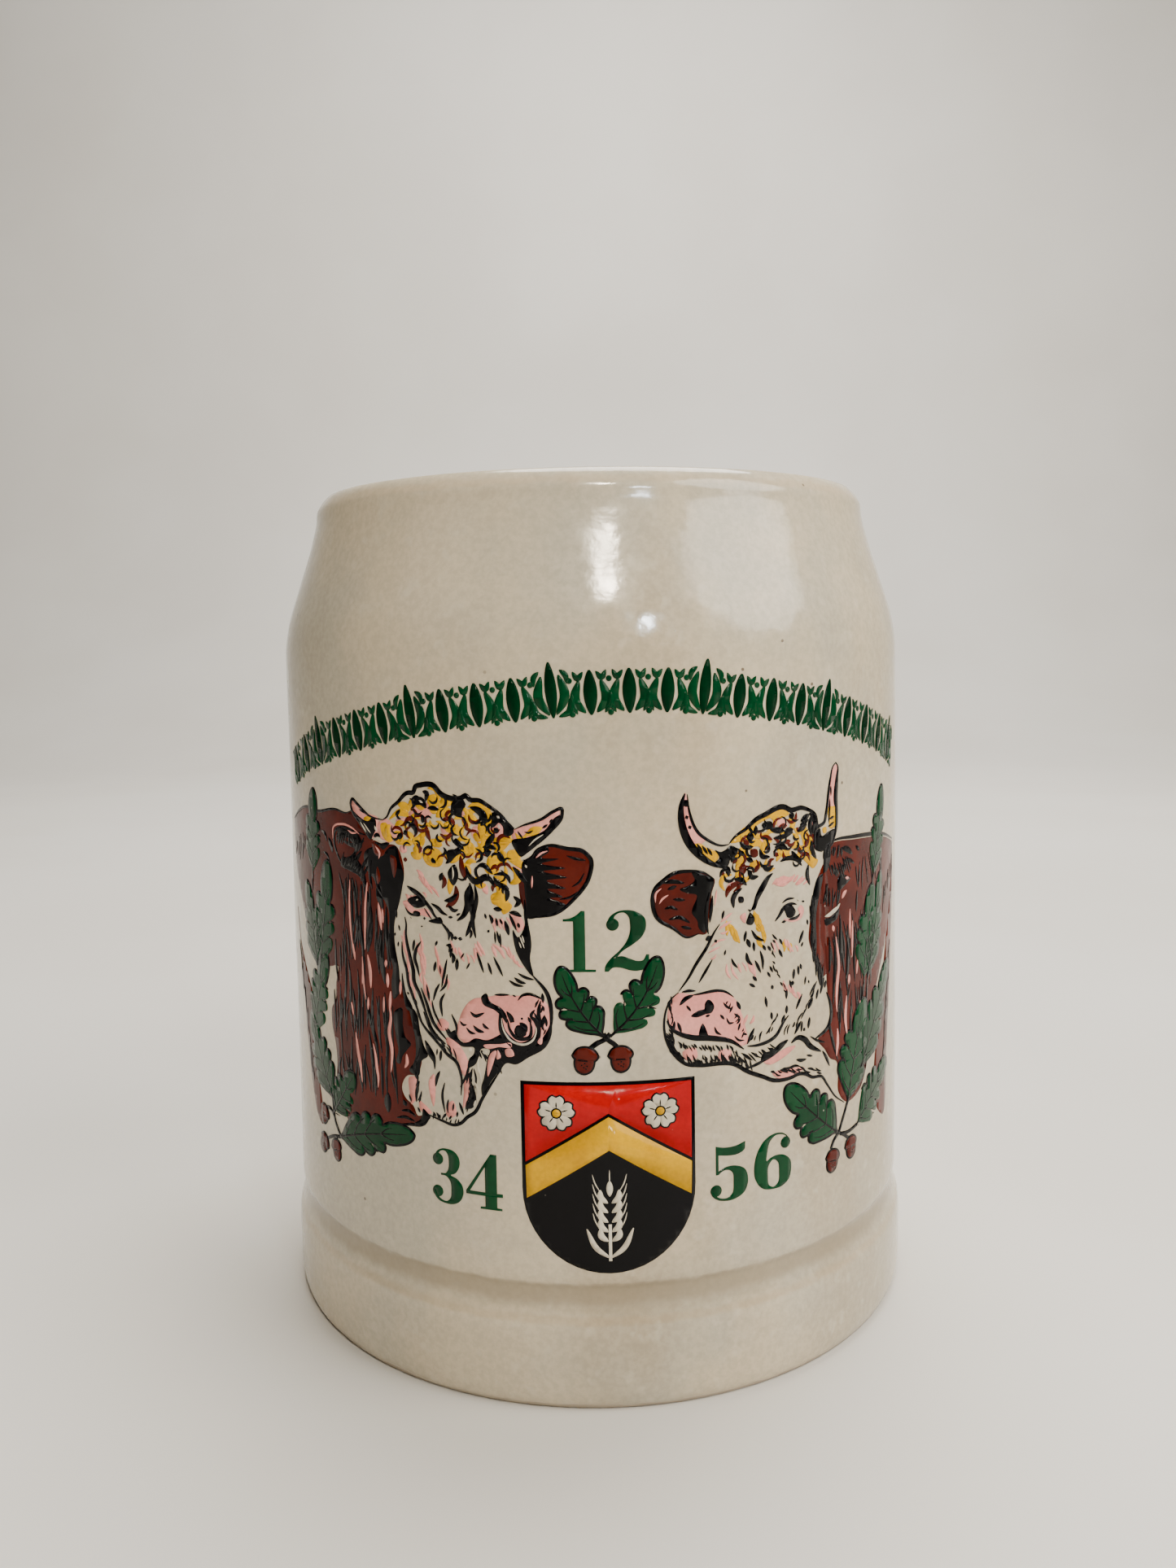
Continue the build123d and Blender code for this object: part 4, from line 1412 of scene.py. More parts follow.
    def face(self) -> None:
        """The white face: eyes, brow, cheek lines and the dark edge beyond the bridge of the nose."""
        self.about = (-26.0, 58.0)
        self.patches(Ink.PINK, """
        -.5 9.5,1 9.6,1.2 8.9,3.6 8.8,4.1 7.9,2.6 8,.1 8.6;15.1 8.9,16.8 8.4,17 7.2,16.2 6.6,
        15.8 7.6""")
        self.hatch(Ink.PINK, 90, """
        100 2.6 .4 1:-.5 4.6,0 1,.8 -2.6;102 2.8 .4 1:2 4,2.6 0,3.6 -4;104 2.2 .4 1.1:4.6 3,6.2 -1.4;
        108 1.8 .4 .8:7.2 4.4,9 2.6,11.2 4.4;122 2 .4 .7:13 4,15 4,16.4 2.4;102 1.7 .4 .6:12.6 7.8,15.4 7.8;
        125 2 .4 .6:2.2 13.4,4.6 11.4;130 1.2 .4 .6:.2 10,3.4 11""")
        self.patches(Ink.BLACK, """
        .3 9.8,1.9 10.5,3.3 9.5,1.6 8.9;1.2 8,1.3 8.4,2.4 8.2,2.3 7.9;3.6 7.3,4.8 7.8,5.4 8,5.8 7.2,4.8 7.1;
        17.1 11,17.5 8.2,17.9 4.8,17.7 3.3,18.1 1,15.9 4.2,15.6 6.9,16.1 6,17.1 7.6,17 9""")
        self.strokes(Ink.BLACK, """
        .25:-.1 8.8,.5 8.1,2.4 7.9;.3:2.8 7.6,3.2 7.6;.42:1.4 11.1,2.3 10.7,3.1 9.9,4 9,4.6 8.1,5.3 7.6;
        .22:3 9,4.1 7.6;.42:4.1 9.7,5.1 9.2,5.8 8.6,6.5 8.3;.38:5.6 7.3,6.7 5.8,6.6 5;.36:6.9 6.2,7.1 5.8,
        7.1 5;.42:7.3 5.4,7.9 5.4;.4:8 5.4,8.6 5.3;.36:6.2 4.3,6.8 4.4,6.6 3.4;.3:7.2 4.1,6.9 3.4,6.8 2.7;
        .48:7.1 3.4,7.3 2.7,7.1 2;.44:7.8 2.7,7.7 1.1;.42:9.8 7.9,9.6 6.8,9.1 5.7;.32:9.6 6.9,9.9 6.2,9.7 5.5;
        .3:10.6 3.8,11.5 1.1;.3:12.1 2.5,12.6 .9;.3:12.9 3.3,14.1 .8;.22:8.8 3.5,8.3 2.7;.22:9.6 2.3,9.1 1.4;
        .22:13.1 6.6,13.2 5.1;.26:13.4 6.7,13.7 5.1;.22:13.8 6.4,13.9 4.6;.4:12.1 6.7,12.4 6.5;.48:14.5 8.1,
        15 6.2;.36:15.1 9,16 6.9;.36:16.2 7.9,16.4 7.2;.3:16.1 1.3,17 .8,18.2 .5;.38:15.6 .7,16.3 .2,17.1 0;
        .32:14.9 .3,15.7 -.2,16.8 -.4;.26:12.9 -1.7,14.9 -1.6;.2:15.3 -1.6,15.8 -1.8;.32:16 -2.3,16.6 -1.6,
        17.3 -1.4,19.3 -2;.48:-.2 7.5,0 6.5,-.1 5.4,.5 2.2,1 .4,1.1 -1.1,1.9 -2.6,3.1 -5.6,3.6 -6.6;
        .4:-.8 4.1,-.7 2.2,-.1 .4,.2 -1.6,.8 -3.1,2.2 -6.4;.4:2.2 -1.8,2.9 -3.5,4.1 -6.4,6 -8.4;.26:3.9 -3.3,
        4 -4.2,5.3 -6.8;.3:3.1 -1.2,3.5 -3.5;.34:1.3 4.6,1 3;.42:2.4 4.5,1.6 3.4,1.3 1.9,1.6 1.1,2 -.3;
        .3:4.9 4.8,4.6 4.1;.36:4.6 2,4.3 .6;.2:5.2 1.6,5.3 .4;.32:6.3 2.5,5.4 -1.4;.3:6.3 .5,6 -1,5.1 -2;
        .32:5.1 -.9,4.5 -2,4.1 -3.3;.36:5.9 -2.1,5.3 -3.1,5.4 -5.3;.28:-1.7 8.5,-1.6 7.2;.22:-1.9 5.2,-2 4.7;
        .22:-1.3 6.3,-1.1 5.5;.22:-1.4 4,-1.5 3.3;.4:1.4 -5,1.9 -6.1,5.1 -9.4,6.1 -10.4,7.2 -11.1,8 -13.2,
        7.9 -15.7;.5:2.5 -5,4.2 -7.9,5.8 -9;.3:6.8 -4.8,7.5 -6.6,7.4 -7.6;.2:.7 7.6,.9 7.4;.2:2.4 6.5,2.7 6.5;
        .26:-.1 -2.7,.2 -3;.22:1.1 -3.4,1.5 -4.2;.3:1 -6.4,1.5 -7;.26:8.4 8.7,7.8 8.4;.28:6.6 8.1,7.3 8.1;
        .3:6.6 9.6,7.4 9.2;.4:6.6 9.6,7.6 9,8.1 9.2;.3:13.8 8.3,14.2 7.6;.42:12.4 8.8,12.8 8,12.7 7.6;
        .3:13.3 8.4,13.5 7.3;.25:11.8 8.9,12 8.2;.3:6.1 -6.8,6.6 -7.4""")
        self.strokes(Ink.WHITE, """
        .16:16.4 6.2,17 4.6;.16:16.7 6.3,17 5.3;.2:1.7 9.9,2.1 10.1;.14:16.3 5.4,16.6 4.6""", level=7)

    def muzzle(self) -> None:
        """The pink muzzle with its ring, the mouth, the chin and the folds of the throat."""
        self.about = (-17.0, 44.0)
        self.patches(Ink.PINK, """
        -1 8.9,1.2 11.6,2.4 11.8,4.1 12.2,7.6 12.4,8.6 12.6,10.9 11.2,11.1 9.6,9.8 5.8,7.8 5.4,6 5.6,4.7 6.8,
        2.9 6.1,1.1 6,-.4 5.5,-1.2 6.1;-3.1 5.9,-1.8 5.7,-1 4.9,.1 2.2,-.5 .9,-1 1.6,-1.3 2.8,-2 3.6;5.1 5.2,
        6.4 5.3,6.4 4.1,5.2 4.1;3.5 3.6,4.4 4.9,4.8 4.4,3.8 2,2.8 .8,2.6 2.4;-.6 .4,.1 1.6,.4 0,-.2 -2.6,
        -.8 -3.4,-.7 -1.4;-9.1 -.4,-8.2 -.2,-8.2 -3.4,-8.9 -4.2,-9.2 -2.4;-5.9 -.2,-5.3 .6,-5.4 -3.8,
        -5.8 -2.4;-7.6 -3.4,-6.8 -3.8,-5.6 -4.8,-7.4 -4.8;-4.4 7.6,-3.9 8.4,-2.6 7.8,-3 6.9,-3.9 6.8;
        -3.3 -3.4,-2.4 -2.6,-2 -4.6,-3.1 -5""")
        self.patches(Ink.BLACK, """
        2.1 11.9,2.8 12.4,3.2 11.5,5 10.4,5.5 9.6,5.5 8.6,4.8 9.5,4 10.2,2.3 11;-3.2 7.2,-2.6 6.7,-1.7 7.1,
        -1.3 6,-.6 5.5,.2 5.7,.9 6.2,2.9 6.2,4.1 6.8,4.9 7.2,5.6 6.4,7 5.9,9 5.9,10.8 8,11.3 9.2,11.3 7.4,
        10.6 5.8,8.2 4.2,6.5 3.2,5.3 3.3,4.7 2.6,2.4 -.7,2 -1.6,1.8 -.4,2.2 1,2.8 3.8,3.1 4.9,1.9 4.9,1.6 4,
        1.1 2.8,0 2.2,.2 3.4,.9 4.2,1 4.9,-.8 5,-1.8 5.6,-2.7 6.1;.4 .2,.9 -2.8,.1 -3.4,-.4 -3.2,.2 -2;
        -6.4 5.1,-5.8 3,-5.2 2.3,-5 1.3,-4.8 2.9""")
        self.patches(Ink.PINK, """
        2.3 5.3,4.6 5.8,6.1 5.9,6.1 5.6,4.4 5.4,2.6 5.1;5.2 5.1,6 5.3,6.4 4.4,5.4 4.2;4.2 5,4.6 4,4.1 3.7;
        3.5 4.7,3.9 4.9,3.6 3.3,2.8 1.3;7 8.9,7.6 9,8.4 7.8,8 6.7,6.7 6.6,5.8 8.6;9.5 6.2,
        10.1 7.2,9.9 6""", level=7)
        self.strokes(Ink.BLACK, """
        .95:4.6 10.2,5 7.3,7.2 5.6,9.3 6.8,9.6 8.2,9.4 9.8;1.5:6.8 8.4,7.4 7.6,8 7.2""", level=7)
        self.strokes(Ink.WHITE, """
        .24:4.8 9.3,4.9 8.2,6.1 6.3,8 6,8.9 6.6,9.3 7.6,9.3 8.8;.4:.4 5,.4 4.3;.3:1.6 3.8,1.4 2.6,1.7 1.4,
        1.9 .2;.5:2.1 4.5,2.7 4.6;.3:.9 .4,1.3 -.6,1.2 -1.6;.25:1 -2.1,.7 -3""", level=8)
        self.strokes(Ink.BLACK, """
        .42:5.6 9.2,5.9 7.8,6.7 6.8,8.5 7,8.7 8.2,8.5 9.2;.9:6.7 8.3,8 7.4;.7:7.2 8.8,7.8 8.3,8.1 7.6;
        .35:8.3 9.6,8.7 8.8;.35:9.1 10.2,9.6 9.2,9.7 7.8;.5:8.8 9.7,9.4 8.9,9.6 8""", level=9)
        self.strokes(Ink.BLACK, """
        .45:8.9 15.2,10.8 12.8,11.3 9.1,11.1 7.6;.4:4.7 2.6,1.9 -1.8,.8 -3.8,-.3 -4.6,-1.2 -5.5,-2.1 -5.9,
        -4.1 -5.6,-6.3 -5.1;.55:5.5 10.2,6.1 9.3,6.3 8.2;.4:.5 9.8,1.1 9.3,2.5 9.8;.28:-1 8.4,-.5 7.9,0 8;
        .42:.9 8,1.5 7.4,2.4 7.2;.34:2.2 8.4,2.6 7.9,3.1 7.7;.32:-.1 7.6,.5 7,1.2 6.9;.36:10.2 12.8,10.3 11.5;
        .3:10.2 11.2,10.4 10.4;.42:10 11.8,9.7 10.6,9.9 8.9,10.4 7.8;.36:9.2 10.6,8.7 9.8,9.1 9;.3:10.6 9.6,
        10.7 8.4;.4:-4.2 1.2,-4.7 .1,-4.9 -1;.36:-3.9 4.1,-4.1 2.6;.2:-4.5 4.2,-4.6 3.3;.3:-3.5 -.3,-3.9 -1.9,
        -3.6 -4.4;.26:-3 -2.5,-3.2 -3.6,-3.1 -4.4;.26:-2.2 -2.9,-2.4 -4;.38:-7.5 -.7,-8 -2.2,-8.1 -3.7;
        .32:-1.4 -2.7,-.8 -4.3;.26:-1.7 -4,-1.8 -4.8;.3:-3.4 -4.5,-3.9 -5.2;.3:-4.9 -4.6,-4.4 -5.3;
        .26:-2.6 -4.7,-3 -5.3;.26:-5.4 -4.6,-5 -5.2;.3:.2 2.4,-.2 1.2,-1.2 -.6;.28:.6 2.2,.1 -.1;.3:3.2 4.7,
        3.7 3.9;.3:4.1 5.1,4 4.1,4.4 3.2;.3:4.8 5.2,4.8 4.2;.3:5.1 5.3,5.5 4.6;.3:5.9 5.3,6.1 4.6;.3:3.4 3,
        3.1 2;.28:-9.3 -2.9,-8.9 -3.8;.28:-7.9 -4.4,-7.5 -5.1;.3:7.4 9.2,7.6 9.5;.22:.8 2.2,1.1 .8,.9 -.6;
        .5:-8.2 .6,-7.7 -.6;.3:4.6 3.6,5.1 3.2""")
        self.hatch(Ink.BLACK, 60, """
        115 1.5 .26 .4:1.2 4.6,3.6 3.4,4.4 2;75 1.1 .26 .4:5 6.2,7.4 5.2,9.6 6;78 1.6 .26 .6:-7.6 3,-7.9 0,
        -7.6 -3;80 1.8 .26 .5:0 1.6,.2 -1,-.4 -3.4;120 1.4 .26 .5:-4 5.6,-3 4.6,-1.8 3.4;
        70 1.1 .26 .4:9.4 11.6,10.1 9.6,10.4 7.6""")
        self.hatch(Ink.BLACK, 3, "70 .8 .2 .45:-5.6 -5.1,-4 -5.4,-2.4 -5.6,-1.2 -5.1")

    def draw(self) -> None:
        """Prints the bull."""
        for part in (self.neck, self.ears, self.horns, self.face, self.muzzle, self.poll):
            part()




# ---- the right bull ------------------------------------------------------------------------
@dataclass
class RightBull(Motif):
    """The bull's head turned to the left, with its brown neck, drawn in millimetres."""

    name: str = "right_bull"
    pen: float = 1.2

    def neck(self) -> None:
        """The brown neck, its folds and the dark fur behind the face."""
        self.about = (32.0, 46.0)
        self.patches(Ink.BROWN, """
        2 27.3,4 27.6,8 27.4,20 26,24.9 24.6*,24.9 17,21 11.5,16.4 5.5,14 1.6,13 -2.5,12.2 -6.5,
        10 -9.2,6.4 -9.8,4.6 -7.8,4.5 -5,4.2 -3.4,2.8 -2.6,1.6 -1,.2 .7,1.9 1.7,3 4,2.3 6.4,2 10,1.6 14,
        1.4 18,1 22,1.4 24.4;-13.4 26.4,-12.2 26.6,-11.8 25.6,-12.6 24.8;-11.2 28.2,-10.2 28.2,-10.1 27.3,
        -11 27.2;-9.2 28.9,-8.2 28.8,-8.3 28,-9.1 28.1;-.4 21.4,.6 23.4,1 20,.8 15,1.2 11,.4 10.4,-.6 14,
        -.6 18;24.9 21,24.2 12,22.8 4,20.8 -6,18.8 -15.8,16.4 -14,15 -9.4,16.8 -1,22 14;1.6 25,.2 23.2,
        -1.3 17.1,-1.5 15,-.9 13.2,.2 10.5,.6 9.2,2.4 9.8,2.4 16,2.4 22""")
        self.patches(Ink.BLACK, """
        1.8 27.2,2.6 27.4,2.8 25.4,2.2 24,.2 23.2,-.4 22,-1 17.6,-.8 14,-.2 11.7,0 14.4,-.1 18,.6 21,1.2 22.8,
        1.4 25;5.1 23,6.2 22.7,7.6 22,6.5 21.4,4.6 20.8,4.4 22;1.6 17.2,2.8 17.3,4 17.8,4.8 18.2,4.4 17,
        3 16.4,1.8 16.4""")
        self.strokes(Ink.BLACK, """
        .6:3.7 15,3.9 12.9,3.4 4.9;.6:5 17.4,5.6 11.4,6.1 8.9;.66:6.9 15.6,6.9 9.8,6.7 8,6.9 5.7;.6:5 8,
        4.9 .4;.48:6.1 3.4,6.25 .4;.48:3.1 4.2,2.6 2.5,3.1 .4,4.4 -3.2;.48:8.8 15,8.6 11,8.8 7;.48:7.9 5,
        7.6 1,8 -3;.42:9.8 6,9.4 1,9.8 -4;.42:10.8 14,10.4 10,10.8 7;.42:5.6 -2,5.8 -5,6.4 -7.4;.42:11.4 2,
        11 -2,11.4 -6;.42:12.6 12,12.3 9,12.8 6;.48:2.6 14.6,2.8 12,2.6 9.4;.42:7.6 -5,8 -7.4;.48:1.6 27.4,
        4 27.9,8 27.8,20 26.4,24.8 25;.54:2 7,2.8 5.2,3 3.6,2.4 2.2,-.4 .9;.72:5.4 26.6,6.8 26.2,8 25.4;
        .48:6 24.8,7.4 24.6,8.6 24;.48:9 26.4,10 25.6;.42:9.4 20,9.2 17;.42:14 9,13.6 5.4""")
        self.strokes(Ink.PINK, """
        .45:3.4 16.1,3.6 15.2;.5:4.1 14.4,4.7 9.8,4.4 8,4.2 4.9,4.3 3.7;.45:4.4 1.3,4.4 -.8,4.1 -2.6;
        .35:7.5 17.7,7.5 13.5;.35:8.2 15.9,8.1 10.8;.5:7.3 8.4,7.2 7;.5:6.6 5.5,6.3 1.9,6.7 -.2;.5:5.5 19.5,
        6 20.1,6.6 20.5;.4:6.3 22.3,7.2 22.1;.35:9.6 10,9.3 8;.3:10.3 4,10 2""", level=7)
        self.strokes(Ink.WHITE, ".5:1.7 17.6,2.6 17.7,3.7 18.1,4.6 18.5,5 18.9", level=8)
        self.hatch(Ink.BLACK, 40, """
        91 5.5 .38 .95:2.6 12,6 13,10 14,15 15;90 5 .38 .9:4.6 4,8 4,13 4;88 4.4 .38 .9:5.6 -4,9 -4.4,12 -5;
        96 4 .38 1.2:9 22,13 22.6,18 22;80 3.4 .38 1.2:19 17,22 20,24.4 21;96 2.6 .38 .35:-.6 20,-.8 16,
        -.2 12,1 9.4;75 1.8 .38 .4:1.6 26.4,3.6 26.6,5.6 26;115 2.2 .38 .45:2.6 24,4.6 23.6,7 24.4;
        80 2.6 .38 .45:1.4 21,3 20,4.6 20;82 3.6 .38 1.3:18.4 -10,20 -2,22.4 8""", bow=0.06)

    def horns(self) -> None:
        """The tall horns, pink at the tips and yellow near the root."""
        self.about = (11.0, 73.0)
        self.patches(Ink.PINK, """
        .7 9.2,.2 7.6,.6 4,1.8 2.2,3.4 3,2 4.6,1.2 7;24.5 11,25.3 11.2,25.3 10,25.1 8.5,25.1 5.6,23.3 5.6,
        23.4 7.6,23.9 9.3""")
        self.patches(Ink.YELLOW, """
        2 2.6,2.6 2.6,3.5 2,4.5 1.6,5.2 .6,4.2 -.1,3.2 .5,2.1 1.6;23.4 5.5,24.9 5.4,24.9 3.8,24.7 2.7,
        23.8 2.6,23.5 3.6;22.2 2.8,22.9 2.9,23 2.2,22.4 2.1""", level=4)
        self.patches(Ink.BLACK, """
        4.7 1.6,5.5 1.3,6.3 1.6,6.8 2,7.9 1.3,7.8 .8,6.9 .3,6.4 -.7,5.5 -.6,4.6 -.1,5.3 .5;.6 8.3,1.1 8.2,
        1.1 7.4,.5 7.5;20.8 2.4,21.6 2.9,22 1.8,23.4 2.2,24.7 2.4,24.3 .9,22 -.3,20.9 .2;25.3 10.4,25 8.5,
        25.1 5,24.7 5.6""")
        self.strokes(Ink.BLACK, """
        .9:.7 9.1,.3 8,1.1 2.9,4.6 -.3,5.95 -.8;.36:1 9,1.2 7,2.6 3.8,3.5 3.1,5.8 2.1,6.7 2.2;.54:25 11.5,
        25.4 11,25.3 9.4,25.1 7,24.8 1.6,24.1 .3,23 0;.42:25 11.5,24.4 11,23.8 9.3,22.9 4.7,22.6 3.7,20.8 2.8,
        20.6 1.4,20.8 .2,22.1 -.4;.48:.8 6.3,1 5.8;.48:1.2 5,1.4 4.5;.34:2.2 2.6,3 1.4;.34:2.9 2.3,3.7 1.1;
        .34:3.6 2,4.3 .9;.34:23.7 6.7,23.5 3.5;.3:23.9 8.4,23.9 7;.34:23.6 3.9,24.6 4.2;
        .34:23.4 2.9,24.6 3.4""")

    def ear(self) -> None:
        """The left ear, half brown and half in black shadow."""
        self.about = (7.0, 63.0)
        self.patches(Ink.BROWN, """
        8.6 7.8,7.1 8.7,5.3 9,2.8 8.7,.3 6,.9 3.3,3 1.8,4.9 .5,6.3 .8,7.2 .7,7.8 3,8.2 6""")
        self.patches(Ink.BLACK, """
        5.5 8.9,7.2 8.5,8.5 7.7,8.1 6,7.6 4,7.4 2,7.2 .9,6.4 1.6,6.2 2.6,5.5 3.6,6.1 6,4.8 6.3,3.9 6.8,
        5.2 7.3,5.9 7.9""")
        self.strokes(Ink.BLACK, """
        .46:8.6 7.8,7.1 8.8,5.3 9.1,2.8 8.8,1.8 8.1,.8 7.2,.9 3.3,3 1.8,4.9 .5,6.4 .9;.48:1.5 7.8,3 7.9,
        4.5 7.6;.42:2.3 6.9,3.5 7.3;.36:1.9 4.4,2.6 4.6,3.6 4.2;.42:2.4 3,3.8 3.2,5.2 2.4;.48:7.9 6.5,7.4 2.2,
        7.7 .7;.42:8.3 5.7,7.9 2.2;.84:7.6 .5,7.9 -.2;.36:3 5.6,4.6 5.4;.36:4 2,5.4 1.6""")
        self.strokes(Ink.PINK, """
        .22:.7 5.3,.8 6.5,1.5 7.1;.22:1.2 5.1,1.6 5.7,2.4 6.2;.2:8.9 6.4,8.6 4.4""", level=7)

    def crown(self) -> None:
        """The curly hair between the horns."""
        self.about = (18.0, 69.0)
        self.patches(Ink.YELLOW, """
        0 6.3,2.9 8.4,5.8 9.8,8 10,9 9.4,8 9,6.6 9.2,3.3 8,1.8 6.6;11 6.9,12 7.4,12.4 6.5,12.9 5.4,12.7 4.3,
        12.2 3.9,11.3 5.6;11.2 3.5,12.2 3.8,13.3 3.1,14.3 2.6,13.4 1.6,12.2 2.4;.4 4.4,2.2 5.4,
        2.6 4.4,1 3.9""", level=4)
        self.patches(Ink.PINK, """
        6.6 8.6,8.4 8.6,8.8 7.9,7 8;12.6 8,13.4 8.4,13.6 7.2;3.9 6.2,4.9 6.8,5 6;-.7 .6,.2 1.4,0 .4;6.4 .4,
        7.8 1.2,9.4 .6,8 -.2;1.2 -3.4,2 -3,1.9 -4.4""")
        self.patches(Ink.BLACK, """
        4.5 8.3,6.1 8.6,6.3 7.9,4.8 7.8;2.4 -2.6,3.3 -2.8,4 -1.5,5 -.1,5.8 1.2,6.3 1.8,5.5 1.6,4.4 .5,3.6 -.8,
        3.2 -2,2.3 -3.8,2.1 -4.4,3 -4.7,3.4 -4;1 -.8,1.7 -.9,1.7 -1.6,1.1 -1.6;12.6 9.2,13.6 8.8,14.3 7.6,
        13.6 6.2,12.9 6.6,13.2 7.8""")
        self.strokes(Ink.BLACK, """
        .61:-.3 6.3,.5 7.1,2.1 8,3.8 9.2,4.9 9.6,8.1 10.4,9.2 9.9,11.2 10,12.2 9.7,13.8 8.8,14.3 7.4;
        .58:3.65 8.3,3.5 7;.94:2.6 7.5,2.9 6.3;.72:5.8 7.6,8.2 7.2;.87:8.1 6.9,9.65 7.3;.8:9.3 9.6,9.5 8.6;
        .72:11 8.2,12.6 9;.58:10.9 7.7,12.4 8.3;.72:10.4 6.9,12.1 7.7;.65:13.1 9,12.7 7.5,13 6.1;.65:12.9 5.5,
        13.1 4.2,13.9 2.8;.58:6.4 6.4,8 6.5,9.6 6.9;.58:1.2 6.4,2 5.6,3.2 5.6;.58:4.2 5.2,4.6 4.2,5.8 4;
        .65:6.6 5.2,7.8 5.2,8.8 4.6;.58:2.2 4.2,3.2 3.6;.58:-.6 5.6,.2 4.8,0 3.8;.65:9.4 4.4,10.2 3.4,
        11.2 2.8;.65:-1.4 3.4,-.6 3,-.4 2;.58:.4 1.6,1.4 1.4,2.2 .6;.58:2.4 2.6,3 1.6,4 1.6;.58:4.6 3,5.4 2.4,
        6.4 2.8;.58:7.5 3.2,8.4 3.5,10.4 3.1,11.2 2.2;.58:.3 -2.2,.2 -1,.6 -.3,1.5 .3;.58:12.4 2.2,12.2 .8,
        12.7 -.6;.58:1 5.2,1.9 4.6""")
        self.strokes(Ink.BROWN, """
        .55:10.3 5.1,11.2 3.7;.66:-.8 -.7,-.5 .2,.6 .9,1.7 .8;.66:1.8 6.8,2.2 6,2.1 5.4;.66:7.2 7.8,8.6 7.9;
        .55:10.2 7.4,10.9 6.8;.55:4.4 6.8,5.4 6.6,6.2 6.2;.55:.2 3.6,.8 4.4;.55:3.4 2.6,4.2 3;.55:6.4 4.4,
        7.2 4;.55:8.2 5.6,9.2 5.8;.5:-1.6 2.6,-1 2.4;.55:12 5.8,11.9 4.6;.55:13.4 5.4,13.2 3.8""", level=5)
        region = """
        .4 6,3 8,6 9.2,9 9.2,12.4 8.4,13.4 5.6,13.2 3,11 2.4,7 3.2,4 1.8,1.4 .4,-1.4 .4,-1.4 3.4"""
        self.curls(Ink.YELLOW, region, 1.9, 0.8, 2.0, 51, level=4)
        self.curls(Ink.BROWN, region, 1.7, 0.5, 2.3, 52, level=5)
        self.curls(Ink.BLACK, region, 1.5, 0.36, 1.75, 53)

    def face(self) -> None:
        """The bridge of the nose, the eye and the hairs of the cheek."""
        self.about = (21.0, 55.0)
        self.patches(Ink.PINK, """
        5 9.4,6.5 8.8,8.3 9.3,8.6 10.3,8 10.9,7.5 10.4,7.8 9.9,7 9.4""")
        self.patches(Ink.BLACK, """
        5.1 10.8,6.3 11.2,6.8 10.7,7.1 10.2,6.9 9.7,5.6 9.6,5.4 10.1;8.4 -6.1,8.7 -6.1,8.7 -6.5,8.4 -6.5;3 .8,
        3.3 .6,3.2 .2,2.9 .3""")
        self.strokes(Ink.BLACK, """
        .36:-4.7 9.9,-5.4 9,-6.6 6.9,-8.1 4.8,-9 3.3,-10.4 1.5;.3:-5.8 5.3,-7.7 2.4;.3:-4.1 11.6,-4.4 10.5;
        .4:-5.4 7.9,-5.2 7.5;.25:-3.9 6.4,-4.1 5.7;.3:-3.1 5.2,-2.8 4.5,-2.2 3.8;.36:-.9 8.6,-1.2 7.2;
        .5:-.8 7.5,-.3 6.3;.35:.2 7,.3 5.7;.4:-.1 8.6,.65 7.5,1.9 6.9;.45:-.9 5.7,-.6 4.5,0 3.9;.35:.4 4.5,
        1.3 2.7;.35:1.2 5.7,1.6 4.2,1.6 3.1;.4:.05 2.4,.65 1.7;.35:-.5 1.5,.4 .9;.3:2.3 2.7,2.8 1.9;
        .3:2.7 3.4,3.2 2.5;.35:1.6 6.4,2.1 5.6;.35:2.4 6.2,2.9 5.4;.45:3.6 9.3,4.4 10.1,5 10.85,6.5 11.3,
        7.3 11.1;.3:4.7 9,5.4 9.1;.35:5.8 9.2,7.6 9.5,7.9 9.8;.26:4.8 11.6,5.6 12,6.9 12;.25:7.4 11.7,
        7.6 11.5;.25:8.2 11.4,8.7 11.3;.3:4.3 6.9,4.8 6;.35:4.15 5.5,4.8 4.3;.4:7.7 5.7,8.5 7.4;.25:8.1 5.2,
        8.4 5.8;.3:9.2 8.8,9.3 8;.4:6.8 2.4,6.65 1;.35:7.5 2.7,7.6 1.4;.35:7.9 2.9,8.1 2.1;.3:6 1,6.3 -.2;
        .5:6.5 .8,6.5 .2;.25:8.9 1,8.7 -.1;.25:9.4 .4,9.5 -.1;.35:8.2 -1.3,7.1 -3.2;.25:10.6 -.35,9.6 -1.8;
        .5:10.2 -2.2,9.3 -3.6;.35:11.3 -1.2,10.9 -2.55;.4:12.5 .2,11.7 -2;.4:12.9 -.3,12.6 -1.3;.4:9.6 -4.8,
        9.3 -6.3;.4:8 -5,6.8 -6.6;.3:8.2 -5.1,8 -6.5;.4:5.5 -2.4,5.4 -3.5;.4:5.1 -3.6,4.6 -4.7;.35:5.5 -.1,
        5.4 -1.5;.35:1.95 -.6,2.2 -2.1;.35:2.9 -2.85,3 -3.9""")
        self.hatch(Ink.PINK, 80, """
        105 2 .4 .8:-3.6 3.4,-1 4,1 3;110 1.6 .4 .9:3 6,4.6 6,7.8 5;120 1.6 .4 .8:5 .4,8 -1.4;
        35 1.8 .4 .6:3.6 14.6,6.6 14.6,9 14;20 1.6 .3 .8:-6 5.6,-4.4 8.4,-3.4 11;
        60 1.4 .4 .8:-2 -3,0 -3.4""")
        self.hatch(Ink.YELLOW, 86, """
        105 1.7 .6 .35:-3.6 9.6,-2.4 7.8;115 1.7 .7 .45:.6 10.4,1.4 8.6,1.4 6.8;
        95 1.1 .5 .35:5 6,6.4 5.2""")
